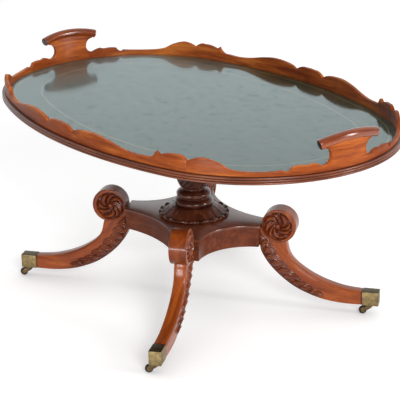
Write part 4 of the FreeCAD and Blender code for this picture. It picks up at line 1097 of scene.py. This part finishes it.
def floor_material():
    """Pale floor that looks white to the eye and in reflections, and keeps the soft shadow."""
    made, tree, shader = new_material("studio floor")
    tone = noise(tree, (0.6, 0.6, 0.6))
    link(tree, ramp(tree, tone, FLOOR_TONES), shader.inputs["Base Color"])
    shader.inputs["Roughness"].default_value = 0.9
    shader.inputs["Specular IOR Level"].default_value = 0.1
    path = add_node(tree, "LightPath").outputs
    seen = path["Is Camera Ray"]
    for kind in ("Is Glossy Ray", "Is Transmission Ray"):
        seen = combine(tree, "MAXIMUM", seen, path[kind])
    shade = add_node(tree, "AmbientOcclusion", Distance=SHADOW_REACH)
    link(tree, shade.outputs["Color"], shader.inputs["Emission Color"])
    link(tree, combine(tree, "MULTIPLY", seen, FLOOR_GLOW), shader.inputs["Emission Strength"])
    return made


floor_mesh = bpy.data.meshes.new("floor")
floor_shape = bmesh.new()
bmesh.ops.create_grid(floor_shape, x_segments=1, y_segments=1, size=FLOOR_HALF)
floor_shape.to_mesh(floor_mesh)
floor_shape.free()
floor_mesh.materials.append(floor_material())
floor = bpy.data.objects.new("floor", floor_mesh)
scene.collection.objects.link(floor)


def area_light(name, place, aim, width, height, power):
    """Soft box at a place, pointing at another."""
    light = bpy.data.lights.new(name, "AREA")
    light.shape = "RECTANGLE"
    light.size = width
    light.size_y = height
    light.energy = power
    made = bpy.data.objects.new(name, light)
    made.location = place
    made.rotation_mode = "QUATERNION"
    made.rotation_quaternion = (Vector(aim) - Vector(place)).to_track_quat("-Z", "Y")
    scene.collection.objects.link(made)


area_light("key", (6.0, -2.2, 3.2), (0, 0, 0.4), width=2.2, height=2.2, power=350)
area_light("right window", (4.4, 3.0, 1.6), (0, 0, 0.5), width=0.7, height=2.6, power=130)
area_light("low strip", (1.3, -2.5, 0.2), (0, 0, 0.3), width=1.2, height=0.24, power=22)
world = bpy.data.worlds.new("white room")
scene.world = world
world.use_nodes = True
tree = world.node_tree
back = add_node(tree, "VectorMath", operation="DOT_PRODUCT")
link(tree, add_node(tree, "TexCoord").outputs["Generated"], back.inputs[0])
back.inputs[1].default_value = BACKDROP_WAY
share = add_node(tree, "MapRange", From_Min=-1.0)
link(tree, back.outputs["Value"], share.inputs["Value"])
room = ramp(tree, share.outputs["Result"], ROOM_TONES)
link(tree, room, tree.nodes["Background"].inputs["Color"])
tree.nodes["Background"].inputs["Strength"].default_value = 1.0
scene.view_settings.view_transform = "Standard"

lens = bpy.data.cameras.new("camera")
lens.lens = CAMERA_LENS
lens.sensor_width = 36
camera = bpy.data.objects.new("camera", lens)
right, up = Vector(CAMERA_RIGHT), Vector(CAMERA_UP)
axes = Matrix((right, up, right.cross(up))).transposed()
camera.matrix_world = Matrix.Translation(CAMERA_PLACE) @ axes.to_4x4()
scene.collection.objects.link(camera)
scene.camera = camera
